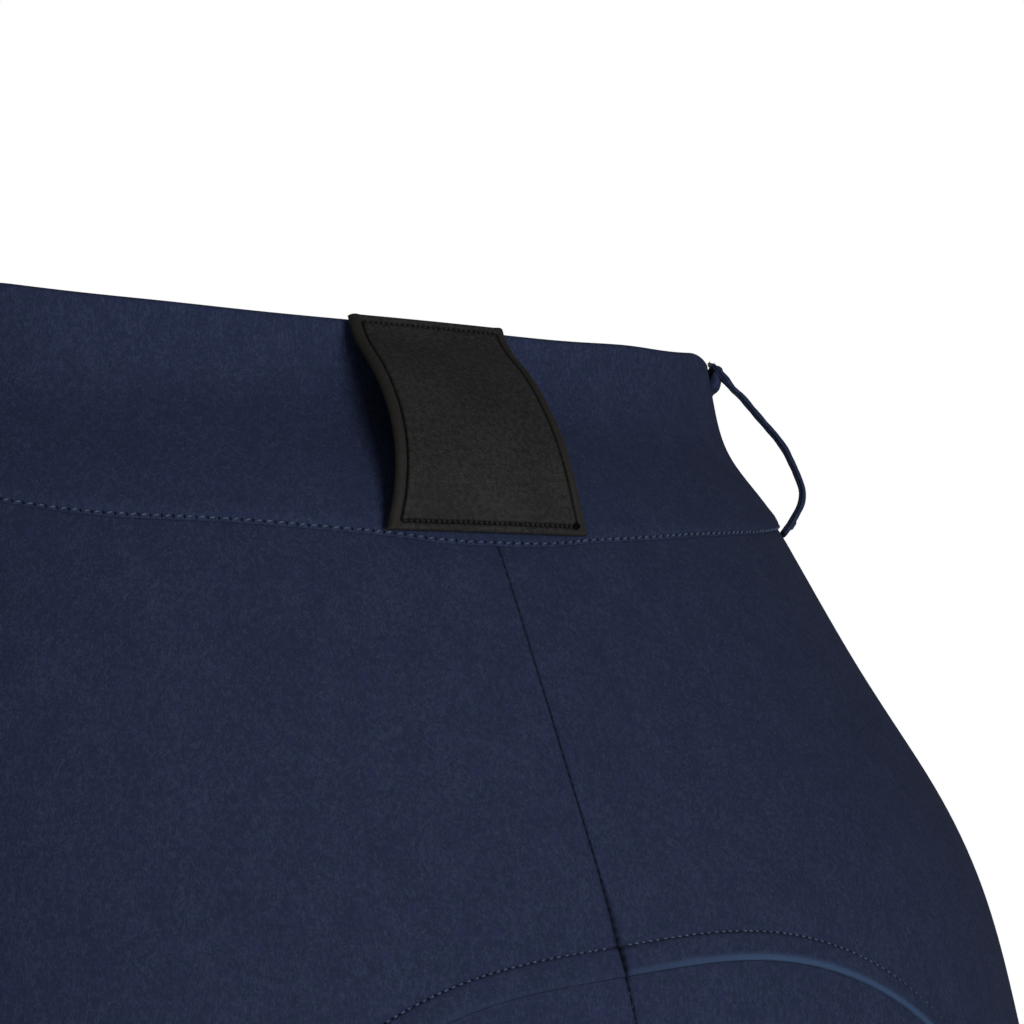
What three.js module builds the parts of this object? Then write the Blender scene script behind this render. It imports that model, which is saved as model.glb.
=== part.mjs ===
// Riding breeches in the form they keep when worn: millimetres, +Z up, the front faces -Y and
// the wearer's left is +X. The origin is the middle of the waist opening.
import * as THREE from 'three';

// Cloth and seams
const PANEL_WALL = 1.5;
const BAND_WALL = 2.6;
const BAND_PROUD = 0.8;
const CUFF_WALL = 1.4;
const SEAM_GAP = 0.3;
const LAY_GAP = 0.35;

// Heights
const CROTCH = -265;
const CUFF_SEAM = -920;
const HEM = -985;

// Waistband: its top edge and lower seam at the centre back, how far each rises to the sides,
// how far each drops again to the centre front and at the sides, the small dip of the seam under
// the label, which comes to a soft point, and its sag on the left. Angles are from the centre back.
const BAND_TOP = { back: -2.5, rise: 13.5, frontDrop: 33.5, sideDrop: 5 };
const BAND_SEAM = { back: -49.5, rise: 16, frontDrop: 37, sideDrop: 0 };
const BAND_SIDE = { from: 0.75, to: 1.55 };
const BAND_DIP = { depth: 3, reach: 0.28, point: 1.5, pointReach: 0.06 };
const LEFT_SAG = { depth: 2.2, at: 0.58, reach: 0.26 };

// Seat seam: the lower edge of the upper back, level at the centre back, low at the outseam.
const SEAT_SEAM = { back: -151.5, fall: 270 };

// Closure: the left end of the waistband laps over the right end past the centre front.
const CLOSURE = { lap: 45 };
const OVERLAP_RISE = BAND_WALL + LAY_GAP;

// Belt loops stand off the band between their sewn ends. Angles are from the centre back.
const LOOP = {
  width: 8.4, wall: 1.6, topInset: 2, lowDrop: 2.5, lowGap: 0.65,
  backBow: 12, frontBow: 11, backAngle: 1.02, frontAngle: 2.45,
};
// Shape of the bow: how far down the loop, and how much of the bow it stands off there
const LOOP_BOW = [
  { z: 0, share: 0 },
  { z: 0.12, share: 0.29 },
  { z: 0.25, share: 0.58 },
  { z: 0.4, share: 0.83 },
  { z: 0.55, share: 0.95 },
  { z: 0.7, share: 0.96 },
  { z: 0.82, share: 0.84 },
  { z: 0.92, share: 0.59 },
  { z: 1, share: 0 },
];
// Centre-back label loop; it sits a little to the wearer's left of the seam, as in the photo.
const LABEL = {
  topHalf: 20.8, lowHalf: 27, flare: 3.8, topShift: 2, lowShift: 3.2, lowGap: 2,
  leather: 1.6, strip: 1, stripInset: 1.5, bow: 10.5, seatGap: 0.5,
};

// Fly flap and button, as distances across from the centre front
const FLAP = {
  rightEdge: -11, leftEdge: 34, length: 168, wall: 1.5, gap: 0.8,
  cornerBack: 20, cornerFrom: 0.6, cornerLift: 24,
};
const BUTTON = {
  radius: 8.5, thick: 3.4, rim: 0.9, dish: 0.7, dishTop: 0.68, dishFloor: 0.58, across: 21,
};

// Power of the sections: 2 would be ellipses, more is squarer.
const SQUARENESS = 2.15;

// Sections of one side, from above the waist to the hem. half is the outside of the hip or leg,
// inner its inside, both from the centre plane; front and back are depths from the axis; mid is
// where the section is widest; bridge rounds the two sides into each other at the centre plane.
const SECTIONS = [
  { z: 40, half: 120, inner: -130, front: 98, back: 97, mid: 0, bridge: 30 },
  { z: 10, half: 123.5, inner: -130, front: 98, back: 97, mid: 0, bridge: 30 },
  { z: -10, half: 129.5, inner: -133, front: 98, back: 94.5, mid: 0, bridge: 30 },
  { z: -24, half: 133.5, inner: -137, front: 98, back: 101, mid: 0, bridge: 30 },
  { z: -36, half: 139, inner: -141, front: 97.5, back: 112, mid: 2, bridge: 30 },
  { z: -48, half: 143, inner: -145, front: 97, back: 121, mid: 5, bridge: 30 },
  { z: -70, half: 149, inner: -148, front: 97, back: 133, mid: 12, bridge: 30 },
  { z: -110, half: 159.5, inner: -147, front: 96.5, back: 150, mid: 22, bridge: 30 },
  { z: -150, half: 168.5, inner: -137, front: 96, back: 162, mid: 29, bridge: 32 },
  { z: -190, half: 172.5, inner: -114, front: 96, back: 165, mid: 33, bridge: 36 },
  { z: -220, half: 175, inner: -66, front: 95, back: 160, mid: 31, bridge: 33 },
  { z: -245, half: 175, inner: -14, front: 94, back: 145, mid: 23, bridge: 20 },
  { z: -265, half: 173, inner: 10, front: 93, back: 127, mid: 15, bridge: 10 },
  { z: -290, half: 171, inner: 14, front: 92, back: 113, mid: 11, bridge: 7 },
  { z: -340, half: 168, inner: 17, front: 89, back: 100, mid: 6, bridge: 4 },
  { z: -410, half: 162, inner: 21, front: 83, back: 85, mid: 2, bridge: 3 },
  { z: -490, half: 154, inner: 27, front: 74, back: 66, mid: -4, bridge: 2 },
  { z: -550, half: 149, inner: 33, front: 68, back: 53, mid: -8, bridge: 2 },
  { z: -610, half: 147, inner: 38, front: 58, back: 57, mid: -1, bridge: 2 },
  { z: -680, half: 147, inner: 40, front: 49, back: 68, mid: 9, bridge: 2 },
  { z: -760, half: 142, inner: 46, front: 44, back: 59, mid: 7, bridge: 2 },
  { z: -840, half: 136, inner: 54, front: 40, back: 46, mid: 3, bridge: 2 },
  { z: -920, half: 132, inner: 60, front: 38, back: 38, mid: 0, bridge: 2 },
  { z: -990, half: 131, inner: 61, front: 37, back: 37, mid: 0, bridge: 2 },
];

// Stance: the sideways slope of the sections and of the line through their middles, with the
// weight on the wearer's right leg.
const STANCE = [
  { z: 50, slope: -0.045 },
  { z: 10, slope: -0.045 },
  { z: -40, slope: -0.015 },
  { z: -85, slope: 0.05 },
  { z: -130, slope: 0.13 },
  { z: -190, slope: 0.13 },
  { z: -265, slope: 0.1 },
  { z: -390, slope: 0.03 },
  { z: -550, slope: -0.03 },
  { z: -750, slope: -0.03 },
  { z: -990, slope: -0.01 },
];

// The largest folds of the cloth, soft troughs behind each knee and above each ankle. round runs
// from 0 at the centre front or inseam to 1 at the centre back or inseam; reach is the half
// length on that scale, width and depth are in millimetres, slant is the rise along the fold.
const FOLDS = [
  { side: 1, round: 0.74, z: -538, reach: 0.2, width: 11, depth: 3.2, slant: 9 },
  { side: 1, round: 0.8, z: -566, reach: 0.17, width: 12, depth: 3.6, slant: -5 },
  { side: 1, round: 0.7, z: -597, reach: 0.15, width: 11, depth: 2.6, slant: 7 },
  { side: 1, round: 0.82, z: -866, reach: 0.3, width: 12, depth: 2.2, slant: 8 },
  { side: 1, round: 0.3, z: -892, reach: 0.34, width: 11, depth: 2.4, slant: -7 },
  { side: -1, round: 0.78, z: -546, reach: 0.22, width: 12, depth: 3.4, slant: 7 },
  { side: -1, round: 0.7, z: -576, reach: 0.16, width: 11, depth: 2.8, slant: -8 },
  { side: -1, round: 0.82, z: -604, reach: 0.13, width: 12, depth: 2.4, slant: 4 },
  { side: -1, round: 0.74, z: -874, reach: 0.32, width: 12, depth: 2.5, slant: -6 },
  { side: -1, round: 0.28, z: -896, reach: 0.3, width: 11, depth: 2, slant: 7 },
];

// Rows of each long panel below the seat seam: the heights reached at the centre and at the
// outseam, and the rows on the way. At the centre the rows crowd towards the crotch, where the
// seams turn: a start or end power over 1 sets how closely.
const ROW_STRETCHES = [
  { centre: CROTCH, side: -490, rows: 8, startPower: 1, endPower: 2 },
  { centre: -500, side: -540, rows: 8, startPower: 1.7, endPower: 1 },
  { centre: -610, side: -625, rows: 7, startPower: 1, endPower: 1 },
  { centre: -840, side: -840, rows: 6, startPower: 1, endPower: 1 },
  { centre: CUFF_SEAM, side: CUFF_SEAM, rows: 5, startPower: 1, endPower: 1 },
];
const UPPER_ROWS = 9;
const COLUMNS = 8;
const CENTRE_CROWDING = 1.4;

// Heights above and below the crotch between which the columns spread evenly round the leg
const LEG_BLEND = { above: 20, below: 60 };

// Rows and columns of the other pieces
const BAND_ROWS = 6;
const LAP_COLUMNS = 3;
const CUFF_ROWS = 4;
const LABEL_ROWS = 10;
const LABEL_COLUMNS = 6;
const LOOP_ROWS = 14;
const LOOP_COLUMNS = 2;
const STRIP_CROWDING = 1.35;
const FLAP_ROWS = 8;
const FLAP_COLUMNS = 4;
const BUTTON_SIDES = 24;

const MATERIALS = {
  cloth: new THREE.MeshStandardMaterial({ color: 0x242a3f, roughness: 0.92, metalness: 0 }),
  band: new THREE.MeshStandardMaterial({ color: 0x20273a, roughness: 0.92, metalness: 0 }),
  cuff: new THREE.MeshStandardMaterial({ color: 0x1e2435, roughness: 0.85, metalness: 0 }),
  leather: new THREE.MeshStandardMaterial({ color: 0x262626, roughness: 0.6, metalness: 0 }),
  metal: new THREE.MeshStandardMaterial({ color: 0x4a4b4f, roughness: 0.35, metalness: 0.9 }),
};

// Natural cubic through the rows of a table, read at any height.
function smoothColumn(table, name) {
  const rows = [...table].sort((a, b) => a.z - b.z);
  const z = rows.map((row) => row.z);
  const v = rows.map((row) => row[name]);
  const last = z.length - 1;
  const bend = new Array(last + 1).fill(0);
  const carry = new Array(last + 1).fill(0);
  for (let i = 1; i < last; i += 1) {
    const share = (z[i] - z[i - 1]) / (z[i + 1] - z[i - 1]);
    const pivot = share * bend[i - 1] + 2;
    const jump = (v[i + 1] - v[i]) / (z[i + 1] - z[i]) - (v[i] - v[i - 1]) / (z[i] - z[i - 1]);
    bend[i] = (share - 1) / pivot;
    carry[i] = ((6 * jump) / (z[i + 1] - z[i - 1]) - share * carry[i - 1]) / pivot;
  }
  for (let i = last - 1; i > 0; i -= 1) {
    bend[i] = bend[i] * bend[i + 1] + carry[i];
  }
  bend[last] = 0;
  return (height) => {
    const q = THREE.MathUtils.clamp(height, z[0], z[last]);
    let i = 0;
    while (i < last - 1 && q > z[i + 1]) {
      i += 1;
    }
    const h = z[i + 1] - z[i];
    const a = (z[i + 1] - q) / h;
    const b = (q - z[i]) / h;
    const curve = (a ** 3 - a) * bend[i] + (b ** 3 - b) * bend[i + 1];
    return a * v[i] + b * v[i + 1] + (curve * h * h) / 6;
  };
}

const COLUMN_NAMES = ['half', 'inner', 'front', 'back', 'mid', 'bridge'];
const SECTION_CURVES = COLUMN_NAMES.map((name) => smoothColumn(SECTIONS, name));
const slopeAt = smoothColumn(STANCE, 'slope');
const bowShareAt = smoothColumn(LOOP_BOW, 'share');

// Sideways shift of the middle line: the slope summed up in 2 mm steps from the waist down.
const SHIFT_TOP = 60;
const SHIFT_STEP = 2;
const SHIFTS = [0];
for (let z = SHIFT_TOP; z > HEM - 20; z -= SHIFT_STEP) {
  SHIFTS.push(SHIFTS[SHIFTS.length - 1] - slopeAt(z - SHIFT_STEP / 2) * SHIFT_STEP);
}

function shiftAt(z) {
  const place = (SHIFT_TOP - z) / SHIFT_STEP;
  const i = Math.floor(place);
  const atWaist = SHIFTS[SHIFT_TOP / SHIFT_STEP];
  return THREE.MathUtils.lerp(SHIFTS[i], SHIFTS[i + 1], place - i) - atWaist;
}

function signedPower(value, power) {
  return Math.sign(value) * Math.abs(value) ** power;
}

function sectionAt(z) {
  const [half, inner, front, back, mid, bridge] = SECTION_CURVES.map((curve) => curve(z));
  const reach = Math.hypot(half, bridge);
  const centre = (reach + inner) / 2;
  const radius = (reach - inner) / 2;
  const edge = THREE.MathUtils.clamp((bridge - centre) / radius, -1, 1);
  const end = Math.acos(signedPower(edge, SQUARENESS / 2));
  return { centre, radius, end, mid, bridge, frontDepth: mid + front, backDepth: back - mid };
}

// Point of the straight, upright form at one height, on the +X side.
function uprightPoint(round, z) {
  const s = sectionAt(z);
  const turn = s.end * (2 * round - 1);
  const across = s.centre + s.radius * signedPower(Math.cos(turn), 2 / SQUARENESS);
  const depth = turn < 0 ? s.frontDepth : s.backDepth;
  const x = Math.sqrt(Math.max(across * across - s.bridge * s.bridge, 0));
  return new THREE.Vector3(x, s.mid + depth * signedPower(Math.sin(turn), 2 / SQUARENESS), z);
}

// How far outside the form a point lies, as a level whose gradient is the normal.
function outsideLevel(x, y, z) {
  const s = sectionAt(z);
  const across = (Math.hypot(x, s.bridge) - s.centre) / s.radius;
  const along = y < s.mid ? (s.mid - y) / s.frontDepth : (y - s.mid) / s.backDepth;
  return Math.abs(across) ** SQUARENESS + along ** SQUARENESS;
}

function uprightNormal(p) {
  const d = 0.5;
  return new THREE.Vector3(
    outsideLevel(p.x + d, p.y, p.z) - outsideLevel(p.x - d, p.y, p.z),
    outsideLevel(p.x, p.y + d, p.z) - outsideLevel(p.x, p.y - d, p.z),
    outsideLevel(p.x, p.y, p.z + d) - outsideLevel(p.x, p.y, p.z - d),
  ).normalize();
}

function foldDepth(side, round, z) {
  let depth = 0;
  for (const fold of FOLDS) {
    const along = (round - fold.round) / fold.reach;
    const across = (z - fold.z - fold.slant * along) / fold.width;
    if (fold.side === side && Math.abs(along) < 1) {
      depth += fold.depth * Math.cos((along * Math.PI) / 2) ** 2 * Math.exp(-across * across);
    }
  }
  return depth;
}

// Point and normal of the worn form; out moves the point off the surface along the normal.
function wornPoint(side, round, z, out = 0) {
  const p = uprightPoint(round, z);
  const n = uprightNormal(p);
  const slope = slopeAt(z);
  const turnRate = (slopeAt(z + 1) - slopeAt(z - 1)) / 2;
  const x = p.x * side;
  const nx = n.x * side;
  const lift = 1 - x * turnRate;
  const normal = new THREE.Vector3(
    lift * nx + slope * n.z,
    n.y * (lift + slope * slope),
    n.z - slope * nx,
  ).normalize();
  const point = new THREE.Vector3(x + shiftAt(z), p.y, z - x * slope);
  point.addScaledVector(normal, out - foldDepth(side, round, z));
  return { point, normal };
}

// Place round the waist by its angle from the centre back, past the centre front too.
function roundAngle(angle) {
  const wrapped = Math.abs(angle) > Math.PI ? angle - Math.sign(angle) * 2 * Math.PI : angle;
  return { side: wrapped >= 0 ? 1 : -1, round: 1 - Math.abs(wrapped) / Math.PI };
}

// Place on the back or front by its distance from the centre plane.
function roundAtDistance(distance, z, back) {
  const s = sectionAt(z);
  const across = (Math.hypot(distance, s.bridge) - s.centre) / s.radius;
  const turn = Math.acos(THREE.MathUtils.clamp(signedPower(across, SQUARENESS / 2), -1, 1));
  return back ? (1 + turn / s.end) / 2 : (1 - turn / s.end) / 2;
}

function bandEdge(edge, angle) {
  const cosine = Math.cos(angle);
  const frontness = Math.max(0, -cosine);
  const sideness = THREE.MathUtils.smoothstep(Math.abs(angle), BAND_SIDE.from, BAND_SIDE.to);
  const rise = edge.rise * (1 - cosine) - edge.sideDrop * sideness;
  return edge.back + rise - edge.frontDrop * frontness ** 2;
}

function bandTop(round) {
  return bandEdge(BAND_TOP, Math.PI * (1 - round));
}

function bump(offset, reach) {
  return Math.exp(-((offset / reach) ** 2));
}

function bandSeam(round, side = -1) {
  const angle = Math.PI * (1 - round);
  const dip = BAND_DIP.depth * bump(angle, BAND_DIP.reach);
  const point = BAND_DIP.point * bump(angle, BAND_DIP.pointReach);
  const sag = side > 0 ? LEFT_SAG.depth * bump(angle - LEFT_SAG.at, LEFT_SAG.reach) : 0;
  return bandEdge(BAND_SEAM, angle) - dip - point - sag;
}

function sidewaysShare(round) {
  return 1 - Math.abs(Math.cos(Math.PI * round));
}

function seatSeam(round) {
  return SEAT_SEAM.back - SEAT_SEAM.fall * sidewaysShare(round);
}

// Rows of a long panel from the waistband seam to the cuff: a function of round and side for
// each row.
function panelRows() {
  const rows = [];
  for (let i = 0; i <= UPPER_ROWS; i += 1) {
    const share = i / UPPER_ROWS;
    rows.push({
      crowding: CENTRE_CROWDING,
      height: (round, side) => THREE.MathUtils.lerp(bandSeam(round, side), seatSeam(round), share),
    });
  }
  let from = { centre: seatSeam(1), side: seatSeam(0.5) };
  for (const to of ROW_STRETCHES) {
    const start = from;
    for (let i = 1; i <= to.rows; i += 1) {
      const gone = 1 - (1 - (i / to.rows) ** to.startPower) ** to.endPower;
      const centre = THREE.MathUtils.lerp(start.centre, to.centre, gone);
      const side = THREE.MathUtils.lerp(start.side, to.side, i / to.rows);
      const below = CROTCH - centre;
      const legShare = THREE.MathUtils.smoothstep(below, -LEG_BLEND.above, LEG_BLEND.below);
      rows.push({
        crowding: THREE.MathUtils.lerp(CENTRE_CROWDING, 1, legShare),
        height: (round) => THREE.MathUtils.lerp(centre, side, sidewaysShare(round)),
      });
    }
    from = to;
  }
  return rows;
}

const ROWS = panelRows();

// Columns run from the centre front to the outseam, or from the outseam to the centre back.
function columnRound(column, crowding, back) {
  const share = back ? 1 - column / COLUMNS : column / COLUMNS;
  const fromCentre = 0.5 * share ** crowding;
  return back ? 1 - fromCentre : fromCentre;
}

// Draws the outside points of a grid in from its edges, half a seam gap on each edge.
function drawIn(points, sides = { across: true, along: true }) {
  const rowEnd = points.length - 1;
  const columnEnd = points[0].length - 1;
  const moved = points.map((row) => row.map((p) => p.clone()));
  const step = (from, to) => to.clone().sub(from).setLength(SEAM_GAP / 2);
  for (let r = 0; r <= rowEnd; r += 1) {
    for (let c = 0; c <= columnEnd; c += 1) {
      const p = points[r][c];
      if (sides.across && c === 0) {
        moved[r][c].add(step(p, points[r][1]));
      }
      if (sides.across && c === columnEnd) {
        moved[r][c].add(step(p, points[r][columnEnd - 1]));
      }
      if (sides.along && r === 0) {
        moved[r][c].add(step(p, points[1][c]));
      }
      if (sides.along && r === rowEnd) {
        moved[r][c].add(step(p, points[rowEnd - 1][c]));
      }
    }
  }
  return moved;
}

// Closed wall between an outside and an inside grid of points; ring joins its two ends.
function wallGeometry(outside, inside, ring = false) {
  const rows = outside.length;
  const columns = outside[0].length;
  const vertices = [];
  for (const grid of [outside, inside]) {
    for (const row of grid) {
      for (const p of row) {
        vertices.push(p.x, p.y, p.z);
      }
    }
  }
  const at = (layer, r, c) => (layer * rows + r) * columns + (c % columns);
  const faces = [];
  const quad = (a, b, c, d) => faces.push(a, b, c, a, c, d);
  const spans = ring ? columns : columns - 1;
  for (let r = 0; r < rows - 1; r += 1) {
    for (let c = 0; c < spans; c += 1) {
      const next = (c + 1) % columns;
      const falling = outside[r][c].distanceTo(outside[r + 1][next]);
      const rising = outside[r + 1][c].distanceTo(outside[r][next]);
      const outer = [at(0, r, c), at(0, r + 1, c), at(0, r + 1, c + 1), at(0, r, c + 1)];
      const inner = [at(1, r, c), at(1, r, c + 1), at(1, r + 1, c + 1), at(1, r + 1, c)];
      if (rising < falling) {
        outer.push(outer.shift());
        inner.push(inner.shift());
      }
      quad(...outer);
      quad(...inner);
    }
  }
  for (let c = 0; c < spans; c += 1) {
    quad(at(0, 0, c), at(0, 0, c + 1), at(1, 0, c + 1), at(1, 0, c));
    quad(at(0, rows - 1, c), at(1, rows - 1, c), at(1, rows - 1, c + 1), at(0, rows - 1, c + 1));
  }
  if (!ring) {
    for (let r = 0; r < rows - 1; r += 1) {
      quad(at(0, r, 0), at(1, r, 0), at(1, r + 1, 0), at(0, r + 1, 0));
      const c = columns - 1;
      quad(at(0, r, c), at(0, r + 1, c), at(1, r + 1, c), at(1, r, c));
    }
  }
  const geometry = new THREE.BufferGeometry();
  geometry.setAttribute('position', new THREE.Float32BufferAttribute(vertices, 3));
  geometry.setIndex(facesOutward(vertices, faces));
  geometry.computeVertexNormals();
  return geometry;
}

// Turns all faces round when the solid is inside out.
function facesOutward(vertices, faces) {
  const corner = (i) => new THREE.Vector3().fromArray(vertices, 3 * i);
  let volume = 0;
  for (let i = 0; i < faces.length; i += 3) {
    volume += corner(faces[i]).dot(corner(faces[i + 1]).cross(corner(faces[i + 2])));
  }
  if (volume > 0) {
    return faces;
  }
  const turned = [];
  for (let i = 0; i < faces.length; i += 3) {
    turned.push(faces[i], faces[i + 2], faces[i + 1]);
  }
  return turned;
}

function moveIn(points, normals, wall) {
  return points.map((row, r) => row.map((p, c) => p.clone().addScaledVector(normals[r][c], -wall)));
}

// Wall whose outside comes from a function of row and column that gives a point and a normal.
function sheetGeometry(rowCount, columnCount, place, wall, options = {}) {
  const places = [];
  for (let r = 0; r < rowCount; r += 1) {
    places.push([]);
    for (let c = 0; c < columnCount; c += 1) {
      places[r].push(place(r, c));
    }
  }
  const points = places.map((row) => row.map((spot) => spot.point));
  const normals = places.map((row) => row.map((spot) => spot.normal));
  const outside = options.drawn ? drawIn(points, options.drawn) : points;
  return wallGeometry(outside, moveIn(outside, normals, wall), options.ring);
}

const group = new THREE.Group();

function addPiece(name, geometry, material) {
  const mesh = new THREE.Mesh(geometry, material);
  mesh.name = name;
  group.add(mesh);
  return mesh;
}

// Leg and torso panels, between two rows of the panel grid
function addPanel(name, side, back, firstRow, lastRow) {
  const place = (r, c) => {
    const row = ROWS[firstRow + r];
    const round = columnRound(c, row.crowding, back);
    return wornPoint(side, round, row.height(round, side));
  };
  const drawn = { across: true, along: true };
  const rowCount = lastRow - firstRow + 1;
  addPiece(name, sheetGeometry(rowCount, COLUMNS + 1, place, PANEL_WALL, { drawn }), MATERIALS.cloth);
}

// Stretch cuffs: a tube below the legs, with the columns of both panels round it
function addCuff(name, side) {
  const place = (r, c) => {
    const round = c / (2 * COLUMNS);
    const z = THREE.MathUtils.lerp(CUFF_SEAM, HEM, r / CUFF_ROWS);
    return wornPoint(side, round, z - (r === 0 ? SEAM_GAP : 0));
  };
  const geometry = sheetGeometry(CUFF_ROWS + 1, 2 * COLUMNS, place, CUFF_WALL, { ring: true });
  addPiece(name, geometry, MATERIALS.cuff);
}

// Waistband: one strip from the right side of the closure round the back to its lapped left end
function bandRound(column, z) {
  const turns = 4 * COLUMNS;
  if (column > turns) {
    const distance = (CLOSURE.lap * (column - turns)) / LAP_COLUMNS;
    return { side: -1, round: roundAtDistance(distance, z, false) };
  }
  const side = column < 2 * COLUMNS ? -1 : 1;
  const fromFront = side < 0 ? column : turns - column;
  const back = fromFront > COLUMNS;
  return { side, round: columnRound(back ? fromFront - COLUMNS : fromFront, CENTRE_CROWDING, back) };
}

// Extra height of the lapped end above the right end, which it covers.
function lapRise(column) {
  const flatColumn = 4 * COLUMNS - 2;
  return OVERLAP_RISE * THREE.MathUtils.clamp((column - flatColumn) / 2, 0, 1);
}

function addWaistband() {
  const place = (r, c) => {
    const spot = bandRound(c, BAND_TOP.back);
    const low = bandSeam(spot.round, spot.side);
    const z = THREE.MathUtils.lerp(bandTop(spot.round), low, r / BAND_ROWS);
    return wornPoint(spot.side, spot.round, z, BAND_PROUD + lapRise(c));
  };
  const columnCount = 4 * COLUMNS + LAP_COLUMNS + 1;
  const drawn = { across: true, along: true };
  const geometry = sheetGeometry(BAND_ROWS + 1, columnCount, place, BAND_WALL, { drawn });
  addPiece('waistband', geometry, MATERIALS.band);
}

// Strip standing off the band: path gives a place for a share down its length and a place
// across it from -1 to 1, and the wall's inside lies at a height above that path.
function stripGeometry(rowsDown, columnsAcross, wall, path, height = -wall / 2) {
  const small = 0.004;
  const place = (r, c) => {
    const down = 1 - (1 - r / rowsDown) ** STRIP_CROWDING;
    const across = (2 * c) / columnsAcross - 1;
    const low = path(Math.min(down + small, 1), across);
    const along = low.sub(path(Math.max(down - small, 0), across));
    const sideways = path(down, across + small).sub(path(down, across - small));
    const normal = sideways.cross(along).normalize();
    return { point: path(down, across).addScaledVector(normal, height + wall), normal };
  };
  return sheetGeometry(rowsDown + 1, columnsAcross + 1, place, wall);
}

// Place on the back by a signed distance from the centre plane
function backPoint(distance, z, out) {
  return wornPoint(distance < 0 ? -1 : 1, roundAtDistance(Math.abs(distance), z, true), z, out).point;
}

// Centre-back label loop: a leather face and the cloth strip behind it
function addLabelLayer(name, height, wall, narrower, material) {
  const top = bandTop(1);
  const low = bandSeam(1) + LABEL.lowGap;
  const path = (down, across) => {
    const half = LABEL.topHalf + (LABEL.lowHalf - LABEL.topHalf) * down ** LABEL.flare - narrower;
    const distance = LABEL.topShift + (LABEL.lowShift - LABEL.topShift) * down + across * half;
    const out = BAND_PROUD + LABEL.seatGap + LABEL.bow * Math.sin(Math.PI * down);
    return backPoint(distance, THREE.MathUtils.lerp(top, low, down), out);
  };
  addPiece(name, stripGeometry(LABEL_ROWS, LABEL_COLUMNS, wall, path, height), material);
}

function addLabel() {
  addLabelLayer('label_backing', 0, LABEL.strip, LABEL.stripInset, MATERIALS.band);
  addLabelLayer('label_leather', LABEL.strip + SEAM_GAP, LABEL.leather, 0, MATERIALS.leather);
}

// Narrow belt loop, centred at an angle round the waist from the centre back. It leaves the top
// of the band at a slant, stands furthest off in its lower half and curls back to the seam.
function addLoop(name, angle, bow) {
  const spot = roundAngle(angle);
  const top = bandTop(spot.round) - LOOP.topInset;
  const low = bandSeam(spot.round) - LOOP.lowDrop;
  const small = 0.01;
  const ahead = roundAngle(angle + small);
  const mark = wornPoint(spot.side, spot.round, top).point;
  const speed = wornPoint(ahead.side, ahead.round, top).point.distanceTo(mark) / small;
  const path = (down, across) => {
    const here = roundAngle(angle + (across * LOOP.width) / 2 / speed);
    const seat = THREE.MathUtils.lerp(BAND_PROUD + LAY_GAP + LOOP.wall / 2, LOOP.lowGap, down);
    const out = seat + bow * bowShareAt(down);
    return wornPoint(here.side, here.round, THREE.MathUtils.lerp(top, low, down), out).point;
  };
  addPiece(name, stripGeometry(LOOP_ROWS, LOOP_COLUMNS, LOOP.wall, path), MATERIALS.band);
}

// Fly flap over the centre front seam, rounded off at its lower left
function addFlyFlap() {
  const place = (r, c) => {
    const down = r / FLAP_ROWS;
    const share = c / FLAP_COLUMNS;
    const drawnBack = FLAP.cornerBack * THREE.MathUtils.smoothstep(down, FLAP.cornerFrom, 1);
    const distance = THREE.MathUtils.lerp(FLAP.rightEdge, FLAP.leftEdge - drawnBack, share);
    const top = bandSeam(0) - 2 * SEAM_GAP;
    const z = top - down * (FLAP.length - FLAP.cornerLift * share * share);
    const round = roundAtDistance(Math.abs(distance), z, false);
    return wornPoint(distance < 0 ? -1 : 1, round, z, FLAP.gap + FLAP.wall);
  };
  const geometry = sheetGeometry(FLAP_ROWS + 1, FLAP_COLUMNS + 1, place, FLAP.wall);
  addPiece('fly_flap', geometry, MATERIALS.cloth);
}

// Waist button: a shallow dished disc on the lapped end of the waistband
function addButton() {
  const { radius, thick, rim, dish, dishTop, dishFloor } = BUTTON;
  const profile = [
    new THREE.Vector2(0, 0),
    new THREE.Vector2(radius - rim, 0),
    new THREE.Vector2(radius, rim),
    new THREE.Vector2(radius, thick - rim),
    new THREE.Vector2(radius - rim, thick),
    new THREE.Vector2(radius * dishTop, thick),
    new THREE.Vector2(radius * dishFloor, thick - dish),
    new THREE.Vector2(0, thick - dish),
  ];
  const z = (bandTop(0) + bandSeam(0)) / 2;
  const round = roundAtDistance(BUTTON.across, z, false);
  const seat = wornPoint(-1, round, z, BAND_PROUD + OVERLAP_RISE + LAY_GAP);
  const button = addPiece('waist_button', new THREE.LatheGeometry(profile, BUTTON_SIDES), MATERIALS.metal);
  button.position.copy(seat.point);
  button.quaternion.setFromUnitVectors(new THREE.Vector3(0, 1, 0), seat.normal);
}

addWaistband();
addPanel('front_left', 1, false, 0, ROWS.length - 1);
addPanel('front_right', -1, false, 0, ROWS.length - 1);
addPanel('back_left', 1, true, 0, UPPER_ROWS);
addPanel('back_right', -1, true, 0, UPPER_ROWS);
addPanel('seat_left', 1, true, UPPER_ROWS, ROWS.length - 1);
addPanel('seat_right', -1, true, UPPER_ROWS, ROWS.length - 1);
addCuff('cuff_left', 1);
addCuff('cuff_right', -1);
addLabel();
addLoop('loop_back_left', LOOP.backAngle, LOOP.backBow);
addLoop('loop_back_right', -LOOP.backAngle, LOOP.backBow);
addLoop('loop_front_left', LOOP.frontAngle, LOOP.frontBow);
addLoop('loop_front_right', -LOOP.frontAngle, LOOP.frontBow);
addFlyFlap();
addButton();

export default group;
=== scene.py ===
import math

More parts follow.
